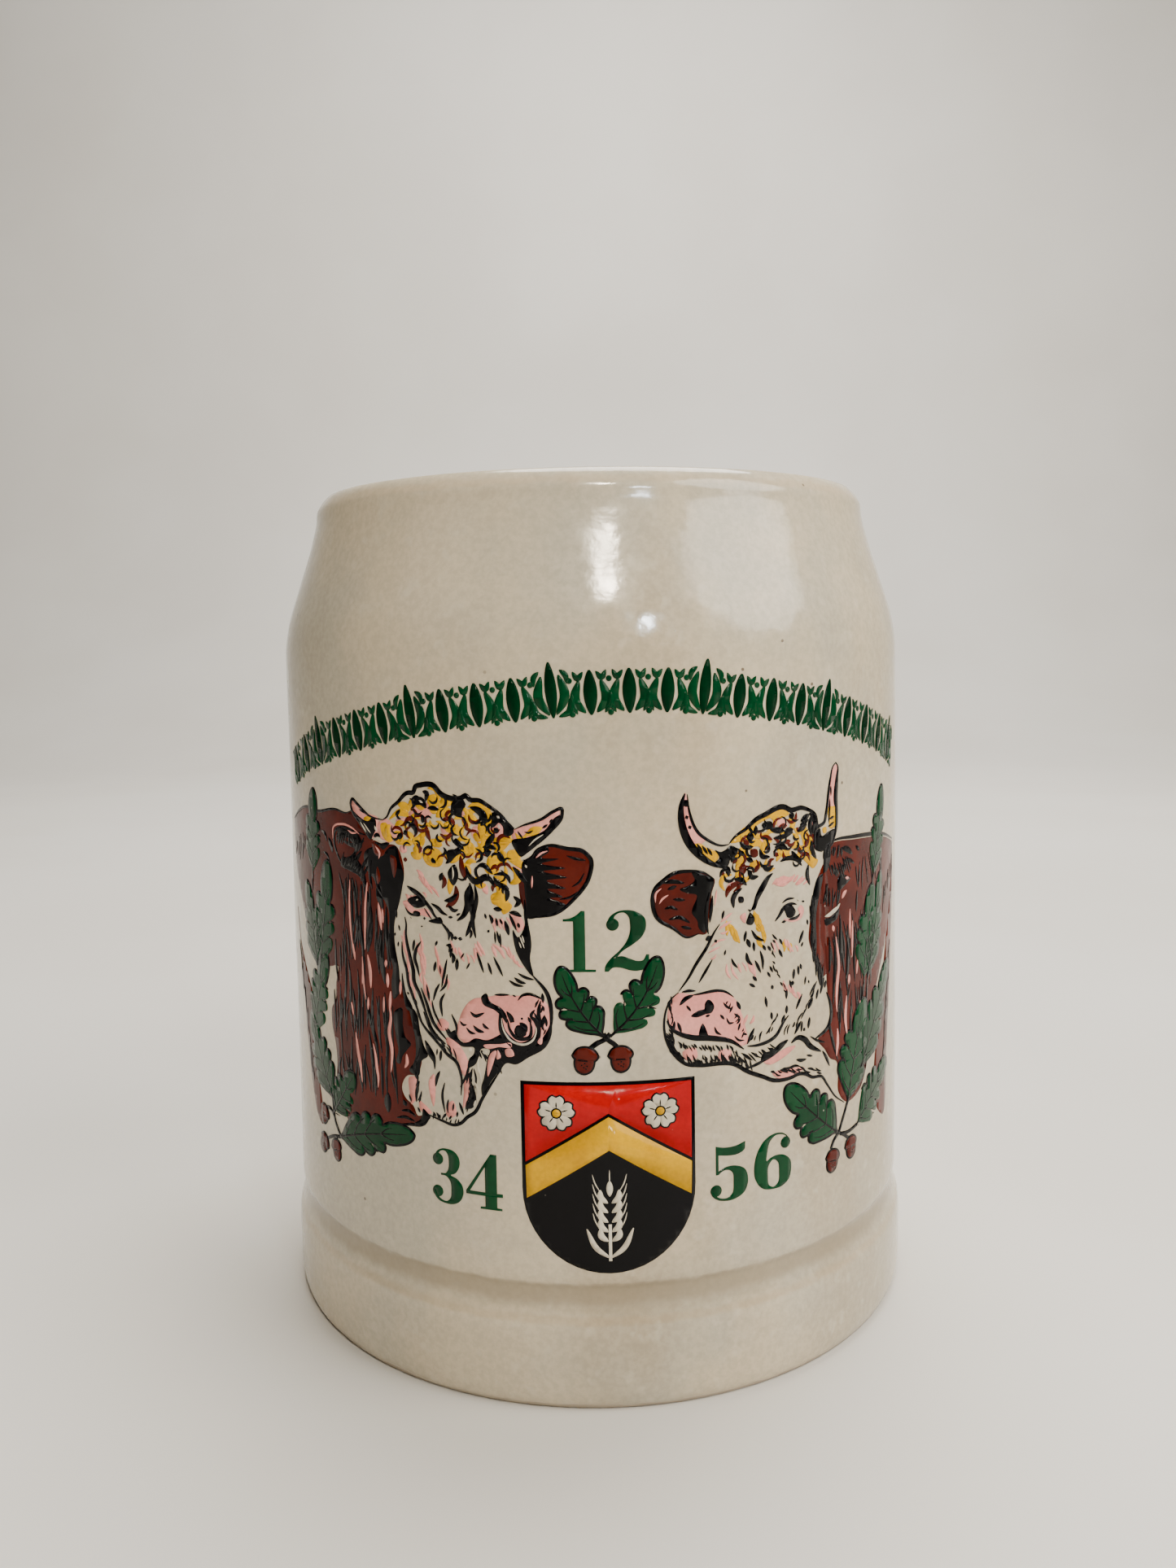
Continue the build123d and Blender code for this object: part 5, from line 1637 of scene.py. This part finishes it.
        self.hatch(Ink.BLACK, 4, """
        62 1 .24 .55:-.2 -5.8,1.4 -5.8,2.8 -5,3.9 -3.6;58 1.3 .26 .8:5 -6,7.6 -5,9.2 -3,11 -.4;
        120 1 .22 .8:5.6 -.8,3.8 2,3.2 5,3.4 7.6""")

    def muzzle(self) -> None:
        """The pink muzzle, the mouth, the chin and the chest below them."""
        self.about = (10.0, 46.0)
        self.patches(Ink.PINK, """
        .7 10.3,2.3 10,6.2 10.1,8.6 8.4,9.2 7,9.8 5,10 2.4,9 2.3,7.1 3.4,2.3 4.4,.3 5.1,-.8 6.4;12.7 -.6,
        14.5 .2,16.5 .8,17.9 .8,14.8 -.8,13.5 -1;14 -2.4,17 -2.2,19.6 -2.6,15 -3.2;1 2.4,2.8 2.8,3 1.6,
        1.4 1.4;6 2,7.8 1.8,7.6 .8,6 .9""")
        self.patches(Ink.BLACK, """
        2.2 7.1,3.3 7.8,4 7.9,4.1 8.6,4.5 9.1,5.4 8.1,5 7.3,4.2 7.2,3 6.9;3.8 6,3.3 4.2,4.5 4.2,4.3 5;-1 4.4,
        -.7 3.2,1.4 1,.9 2,.1 3,-.4 4.2;12.2 -.3,14 0,16.6 1.9,15.4 1.7,14 .9,12.4 .6""")
        self.strokes(Ink.BLACK, """
        .32:1 10.4,1.8 10.5,2.9 10.4;.32:2.3 9.9,7.1 9.8,8.2 9;.65:-1 6.75,-.5 5.85,2.3 4.3,4.7 3.95,8 3,
        9.6 1.8;.48:.6 10.4,-.5 9.5,-.9 8.7,-.9 3.7,1.8 .7,3 .5,8.3 -.1,10.1 -1.3,12.6 -2.5,14 -3.2,
        17.05 -3.5,18.7 -3.3,19.8 -3.6,21 -4.3,22.95 -4.7,24 -6,26 -8.4,28 -9.8;.3:4.15 6.9,4.8 7;
        .28:6.65 8.5,7.1 7.9,7.9 7.4;.42:8.6 8.4,9.15 7.2;.3:8.2 6.8,9.1 6.1;.25:7.1 6.4,7.5 5.6,8.2 5.6;
        .3:5.4 5.4,5.7 4.6,6.35 4.2;.25:8.2 3.8,8.9 3.1,9.7 3;.25:9.5 3.9,10.1 3.7;.35:0 6.7,-.2 5.2;
        .38:.4 6.5,.9 5.1;.5:.7 8.7,1.5 9.5,2.6 9.9;.42:10.1 2.4,11.2 4.4;.42:10.1 2.1,11.65 2,14.5 2.7,
        16.1 4.6,16.8 5.2;.7:17.2 1.3,18.3 1.8,19.8 1.15,20.4 .4,22.8 -1.1;.3:20.7 1.5,21.9 .7,23.6 0;
        .4:23.1 -1.1,23.7 -1.9,24.6 -3.6;.3:15.8 -1.9,16.7 -2.1,17.95 -2,18.8 -2.3;.4:18.1 -1.2,19 -1.5,
        19.9 -1.5;.25:20 -1,21.1 -1.35;.35:10 -.9,11.5 -.6,13.3 0;.3:1.6 8.6,2.2 7.8;.3:6.2 6.9,
        6.8 6.2""")
        self.hatch(Ink.BLACK, 70, """
        118 1.5 .27 .36:-.8 5.4,0 2.6,1.6 1.4,3.6 .8;112 1.4 .27 .42:3.6 1.2,6.4 1,9 .4,10.6 -.8;
        140 1.6 .27 .5:9.8 .8,12 .6,14.2 1.4;95 1.2 .27 .5:-.4 9.6,-.6 7.6,-.6 5.8;150 1.3 .27 .6:14 -2.4,
        17 -2.6,20 -3,23 -4;60 .9 .27 .5:7 8.4,8.8 6,9.6 3.6""")
        self.hatch(Ink.BLACK, 7, """
        118 1 .25 .5:.4 3.6,2.4 3,4.8 2.7,7 2.2,8.8 1.4;110 .7 .24 .5:2 1,4 .8,6.4 .8,8.6 .3""")

    def draw(self) -> None:
        """Prints the bull."""
        for part in (self.neck, self.ear, self.horns, self.face, self.muzzle, self.crown):
            part()


# ---- the shield ----------------------------------------------------------------------------
@dataclass
class Shield(Motif):
    """A plain heraldic shield: a chevron, two roses and an ear of barley. Sizes are in millimetres."""

    name: str = "shield"
    middle: float = 1.35
    half_width: float = 11.25
    top: float = 45.1
    shoulder: float = 30.6
    foot: float = 19.2
    edge: float = 0.48
    chevron_top: float = 40.4
    chevron_fall: float = 0.62
    chevron_width: float = 4.5
    rose_at: tuple[Point, Point] = ((-5.3, 40.9), (8.0, 40.9))
    rose_radius: float = 2.35
    grain_rows: int = 5

    def outline(self) -> list[Point]:
        """The shield's outer edge.

        Returns:
            The closed outline.
        """
        m, w = self.middle, self.half_width
        round_foot = [(m - w * sin(a), self.shoulder - (self.shoulder - self.foot) * cos(a))
                      for a in (radians(-90 + 7.5 * n) for n in range(25))]
        return [(m + w, self.top), *round_foot, (m - w, self.top)]

    def side(self, z: float) -> float:
        """Half the width of the coloured field at a height.

        Args:
            z: the height.

        Returns:
            Half the width.
        """
        if z >= self.shoulder:
            return self.half_width - self.edge
        drop = (self.shoulder - z) / (self.shoulder - self.foot - self.edge)
        return (self.half_width - self.edge) * max(0.0, 1 - drop * drop) ** 0.5

    def chevron(self, top: float, width: float) -> list[Point]:
        """A chevron across the field, by the height of its point and its upright width.

        Args:
            top: the height of its point.
            width: its upright width.

        Returns:
            The closed outline.
        """
        m = self.middle
        ends = []
        for lower in (0.0, width):
            reach = self.half_width - self.edge
            for _ in range(8):
                reach = self.side(top - lower - reach * self.chevron_fall)
            ends.append((reach, top - lower - reach * self.chevron_fall))
        (a, az), (b, bz) = ends
        return [(m - a, az), (m, top), (m + a, az), (m + b, bz), (m, top - width), (m - b, bz)]

    def rose(self, at: Point) -> None:
        """A five-petalled white rose with a yellow middle.

        Args:
            at: its middle.
        """
        for n in range(5):
            petal = path("0 .25,.75 .9,.95 1.75,.45 2.2,0 2.0,-.45 2.2,-.95 1.75,-.75 .9")
            size = self.rose_radius / 2.2
            shape = moved(smooth(petal, step=0.25), at, 2 * pi * n / 5, size)
            self.area(Ink.BLACK, grown(shape, 0.16), level=5)
            self.area(Ink.WHITE, grown(shape, -0.06), level=6)
            self.line(Ink.BLACK, moved(path("0 .6,0 1.0,0 1.45"), at, 2 * pi * n / 5, size), 0.18, level=7)
        self.area(Ink.BLACK, disc(at, 0.72, count=18), level=8)
        self.area(Ink.YELLOW, disc(at, 0.52, count=18), level=9)

    def barley(self) -> None:
        """A white ear of barley on the dark field."""
        m, low = self.middle, self.foot + 1.7
        self.line(Ink.WHITE, [(m, low), (m, low + 2.4), (m, low + 5)], 0.42, Tip.BLUNT, 6)
        for hand in (1, -1):
            blade = [(m, low + 0.4), (m + hand * 1.7, low + 1.7), (m + hand * 3.0, low + 4.4)]
            self.line(Ink.WHITE, blade, 0.7, level=6)
            for n in range(self.grain_rows):
                z = low + 2.7 + 1.3 * n
                grain = [(m + hand * 0.25, z), (m + hand * 1.15, z + 0.75), (m + hand * 1.2, z + 1.8)]
                self.line(Ink.WHITE, grain, 0.85, level=6)
                beard = [(m + hand * 1.2, z + 1.5), (m + hand * 1.9, z + 2.8), (m + hand * 2.2, z + 3.9)]
                self.line(Ink.WHITE, beard, 0.16, level=6)
        tip = low + 2.7 + 1.3 * self.grain_rows
        self.line(Ink.WHITE, [(m, tip - 0.4), (m, tip + 0.7), (m, tip + 1.7)], 0.85, level=6)
        self.line(Ink.WHITE, [(m, tip + 1.2), (m, tip + 2.4), (m, tip + 3.2)], 0.16, level=6)

    def draw(self) -> None:
        """Prints the shield."""
        m, inner = self.middle, self.half_width - self.edge
        self.area(Ink.BLACK, self.outline(), level=1)
        band = self.chevron(self.chevron_top, self.chevron_width)
        rim = self.chevron(self.chevron_top + self.edge, self.chevron_width)
        field = [(m - inner, self.top - self.edge), (m + inner, self.top - self.edge), rim[2], rim[1], rim[0]]
        self.area(Ink.RED, field, level=3)
        self.area(Ink.YELLOW, band, level=3)
        for at in self.rose_at:
            self.rose(at)
        self.barley()


# ---- the arched band -----------------------------------------------------------------------
@dataclass
class ScrollBand(Motif):
    """A band of pen-drawn leaf ornament along an arch. Sizes are in millimetres."""

    name: str = "scroll_band"
    arch: str = ("-55.5 83.3,-50 85.6,-40 88.6,-30 91,-20 92.9,-10 94.3,0 95.2,10 95.3,20 94.2,30 92.6,"
                 "40 90.3,50 87.2,54.5 85.4")
    first: float = -53.6
    last: float = 53.4
    units: int = 23
    level: int = 5

    def station(self, arc: float) -> tuple[float, float]:
        """Height and slope of the arch at a place.

        Args:
            arc: the place.

        Returns:
            The height, and the slope as an angle.
        """
        line = smooth(path(self.arch), closed=False, step=0.5)
        for (ax, ay), (bx, by) in zip(line, line[1:]):
            if ax <= arc <= bx:
                return ay + (arc - ax) / (bx - ax) * (by - ay), atan2(by - ay, bx - ax)
        return line[-1][1], 0.0

    def spindle(self) -> list[tuple[str, float]]:
        """Strokes of the unit with an upright lozenge between two leaf pairs, for its right half."""
        return [("0 -2.9,0 0,0 2.7", 1.75), (".7 -2.6,1.9 -1.1,1.35 1.5", 1.25),
                (".8 2.5,1.5 1.7,2.1 2.6", 0.8), ("1.7 -2.7,2.3 -1.6,2.3 -.2", 0.75)]

    def plume(self) -> list[tuple[str, float]]:
        """Strokes of the tall unit, for its right half."""
        return [("0 -2.9,0 .9,0 4.1", 1.5), (".45 -2.5,1.65 -.3,1.1 2.4", 1.25),
                (".7 -2.8,2 -2.3,2.4 -.5", 0.9), ("1.3 3,2 2.3,2.1 1.2", 0.75)]

    def draw(self) -> None:
        """Prints the band, with every fourth unit a tall one."""
        for n in range(self.units):
            arc = self.first + (self.last - self.first) * n / (self.units - 1)
            z, turn = self.station(arc)
            strokes = self.plume() if n % 4 == 2 else self.spindle()
            for text, width in strokes:
                half = path(text)
                for points in (half, mirrored(half)):
                    self.line(Ink.GREEN, moved(points, (arc, z), turn), width, level=self.level)
            for y in (-2.7, 1.5):
                dot = moved([(2.4, y)], (arc, z), turn)[0]
                self.area(Ink.GREEN, disc(dot, 0.38, count=12), level=self.level)


# ---- figures -------------------------------------------------------------------------------
@dataclass(frozen=True)
class Numeral:
    """One fat-faced figure: filled outlines and round ends, as shares of its width and height."""

    areas: tuple[str, ...]
    holes: tuple[str, ...] = ()
    balls: tuple[Point, ...] = ()

    def print_on(self, motif: Motif, foot: Point, width: float, height: float, ball: float) -> None:
        """Adds the figure to a motif.

        Args:
            motif: where it is printed.
            foot: its lower left corner.
            width: its width.
            height: its height.
            ball: radius of its round ends.
        """
        def placed(text: str) -> list[Point]:
            """The outline at its place and size."""
            return smooth([(foot[0] + x * width, foot[1] + y * height) for x, y in path(text)], step=0.3)

        for n, area in enumerate(self.areas):
            motif.area(Ink.GREEN, placed(area), [placed(hole) for hole in self.holes] if n == 0 else ())
        for x, y in self.balls:
            motif.area(Ink.GREEN, disc((foot[0] + x * width, foot[1] + y * height), ball))


NUMERALS: dict[str, Numeral] = {
    "1": Numeral((".05 0*,.05 .035*,.33 .04*,.33 .83*,.04 .83*,.04 .865,"
                  ".04 .865,.24 .88,.42 .93,.56 1*,.67 1*,.67 .04*,.97 .035*,.97 0,"
                  ".97 0",)),
    "2": Numeral((".04 0*,.05 .08,.15 .2,.34 .34,.48 .48,.55 .62,.56 .78,.52 .91,.44 .96,.34 .955,"
                  ".25 .9,.22 .8,.1 .76,.14 .88,.28 .97,.48 1,.7 .965,.86 .86,.88 .7,.8 .56,.62 .44,.4 .33,"
                  ".24 .22,.22 .22,.38 .25,.56 .2,.7 .16,.82 .17,.88 .26*,.94 .26*,.93 .12,"
                  ".86 .03,.72 0,.56 .01,.36 .06,.2 .06,.12 0*",), balls=((0.21, 0.77),)),
    "3": Numeral((".12 .82,.17 .92,.3 .98,.5 1,.74 .96,.87 .84,.85 .68,.74 .575,.6 .53,.8 .475,.95 .36,"
                  ".97 .22,.87 .08,.62 0,.42 0,.2 .04,.08 .14,.08 .22,.2 .1,.34 .045,.46 .04,.57 .1,.61 .25,"
                  ".58 .42,.46 .5,.3 .505*,.3 .54*,.44 .55,.52 .62,.55 .77,.52 .9,.44 .96,"
                  ".33 .955,.24 .9,.2 .82",),
                 balls=((0.21, 0.79), (0.19, 0.2))),
    "4": Numeral((".4 0*,.4 .035*,.53 .04*,.53 .24*,.02 .24*,.02 .3*,"
                  ".68 1*,.84 1*,.84 .3*,.99 .3*,.99 .24*,.84 .24*,"
                  ".84 .04*,.97 .035*,.97 0*",), (".12 .3*,.53 .3*,.53 .76*",)),
    "5": Numeral((".19 .48*,.19 .99*,.4 .95,.66 .95,.9 1*,.88 .86,.72 .8,.5 .8,.25 .83,"
                  ".25 .83,.25 .54*,.44 .6,.7 .59,.9 .5,.97 .32,.88 .1,.62 0,.38 0,.2 .045,.08 .14,"
                  ".08 .22,.2 .1,.34 .045,.45 .04,.57 .1,.61 .3,.57 .5,.45 .55,.33 .53,"
                  ".25 .48*",), balls=((0.19, 0.2),)),
    "6": Numeral((".5 0,.22 .06,.05 .26,.03 .5,.12 .75,.3 .93,.56 1,.78 .96,.9 .86,.92 .78,.84 .9,.7 .96,"
                  ".56 .965,.42 .88,.35 .7,.34 .53,.42 .57,.6 .6,.8 .56,.95 .44,.97 .28,"
                  ".9 .1,.72 .01",),
                 (".5 .035,.61 .08,.65 .28,.61 .48,.5 .54,.39 .46,.36 .26,.4 .08",), balls=((0.82, 0.79),)),
}


@dataclass
class Figures(Motif):
    """A row of plain figures. Sizes are in millimetres."""

    text: str = ""
    feet: tuple[Point, ...] = ()
    widths: tuple[float, ...] = ()
    height: float = 7.6
    ball: float = 0.8

    def draw(self) -> None:
        """Prints the figures."""
        for figure, foot, width in zip(self.text, self.feet, self.widths):
            NUMERALS[figure].print_on(self, foot, width, self.height, self.ball)


def upper_figures() -> Figures:
    """The figures above the sprig."""
    return Figures("upper_figures", text="12", feet=((-4.2, 59.6), (0.9, 59.6)),
                   widths=(4.4, 6.3), height=7.9)


def left_figures() -> Figures:
    """The figures left of the shield."""
    return Figures("left_figures", text="34", feet=((-22.9, 27.0), (-17.8, 27.1)),
                   widths=(4.9, 5.3))


def right_figures() -> Figures:
    """The figures right of the shield."""
    return Figures("right_figures", text="56", feet=((14.3, 27.5), (20.9, 27.6)),
                   widths=(6.0, 6.4), height=7.7)


MOTIFS = (centre_sprig, right_branch, left_branch, LeftBull, RightBull, Shield, ScrollBand,
          upper_figures, left_figures, right_figures)


# ---- studio --------------------------------------------------------------------------------
@dataclass(frozen=True)
class Lamp:
    """A round soft lamp that faces a point. Its size is in metres and its power in watts."""

    name: str
    place: Triple
    aim: Triple
    size: float
    power: float
    tint: Triple

    def hang(self) -> None:
        """Hangs the lamp."""
        light = bpy.data.lights.new(self.name, "AREA")
        light.shape = "DISK"
        light.size = self.size
        light.energy = self.power
        light.color = self.tint
        lamp = link(bpy.data.objects.new(self.name, light))
        lamp.location = self.place
        lamp.rotation_euler = (Vector(self.aim) - Vector(self.place)).to_track_quat("-Z", "Y").to_euler()


@dataclass
class Studio:
    """Pale table and backdrop, soft lights and the camera. Sizes are in metres."""

    eye_distance: float = 0.2017
    eye_height: float = 0.10264
    look_down: float = radians(7.045)
    look_aside: float = radians(-0.212)
    tilt: float = radians(-0.943)
    lens: float = 28.385
    floor_width: float = 3.0
    floor_depth: float = 1.1
    floor_front: float = -1.2
    backdrop_height: float = 1.6
    sweep: float = 0.35
    sweep_steps: int = 12
    surround: float = 0.17
    lamps: tuple[Lamp, ...] = (
        Lamp("key", (0.75, -0.34, 0.7), (0.0, 0.0, 0.06), 0.8, 11.2, (1.0, 0.96, 0.90)),
        Lamp("warm", (0.045, -0.42, 0.44), (0.0, 0.0, 0.10), 0.06, 1.5, (1.0, 0.88, 0.70)),
        Lamp("cool", (0.125, -0.36, 0.25), (0.0, 0.0, 0.08), 0.026, 0.28, (0.84, 0.93, 1.0)),
        Lamp("fill", (-0.6, -0.3, 0.5), (0.0, 0.0, 0.06), 0.4, 0.2, (1.0, 0.90, 0.78)),
        Lamp("back", (0.1, 0.35, 0.9), (0.0, 0.5, 0.2), 0.7, 14.0, (1.0, 0.97, 0.93)),
    )

    def build(self) -> None:
        """Sets up everything that isn't the mug."""
        self.build_floor()
        self.build_lights()
        self.build_camera()

    def build_floor(self) -> None:
        """Makes a floor that sweeps up into a backdrop."""
        back = self.floor_depth
        line = [(self.floor_front, 0.0), (back - self.sweep, 0.0)]
        for i in range(1, self.sweep_steps + 1):
            turn = 0.5 * pi * i / self.sweep_steps
            line.append((back - self.sweep + self.sweep * sin(turn), self.sweep * (1 - cos(turn))))
        line.append((back, self.backdrop_height))
        half = 0.5 * self.floor_width
        rings = [[Vector((-half, y, z)), Vector((half, y, z))] for y, z in line]
        floor = grid_object("floor", rings, around=False)
        floor.data.materials.append(PaleFloor().material())

    def build_lights(self) -> None:
        """Hangs the lamps and lights the surroundings faintly."""
        for lamp in self.lamps:
            lamp.hang()
        world = bpy.data.worlds.new("studio")
        world.use_nodes = True
        background = world.node_tree.nodes["Background"]
        background.inputs["Color"].default_value = colour("d6d2ca")
        background.inputs["Strength"].default_value = self.surround
        bpy.context.scene.world = world

    def build_camera(self) -> None:
        """Puts the camera in front of the mug, a little below its rim, looking slightly down."""
        ahead = Vector((sin(self.look_aside) * cos(self.look_down),
                        cos(self.look_aside) * cos(self.look_down), -sin(self.look_down)))
        level = ahead.cross(Vector((0, 0, 1))).normalized()
        upright = level.cross(ahead)
        right = level * cos(self.tilt) + upright * sin(self.tilt)
        up = -level * sin(self.tilt) + upright * cos(self.tilt)
        turn = Matrix((right, up, -ahead)).transposed().to_4x4()
        data = bpy.data.cameras.new("camera")
        data.lens = self.lens
        data.sensor_width = 36.0
        data.sensor_fit = "AUTO"
        data.clip_start = 0.01
        data.dof.use_dof = False
        camera = link(bpy.data.objects.new("camera", data))
        camera.matrix_world = Matrix.Translation((0, -self.eye_distance, self.eye_height)) @ turn
        bpy.context.scene.camera = camera


def report(pieces: Iterable[Piece]) -> None:
    """Logs each piece's name and number of faces."""
    for piece in pieces:
        log.info("%s: %d faces", piece.name, len(piece.data.polygons))


def main() -> None:
    """Builds the mug and the studio, and logs each piece's number of faces."""
    logging.basicConfig(level=logging.INFO, format="%(name)s: %(message)s")
    report([StoneBody().build()])
    report(StrapHandle().build())
    for motif in MOTIFS:
        report(motif().build())
    Studio().build()


if __name__ == "__main__":
    main()
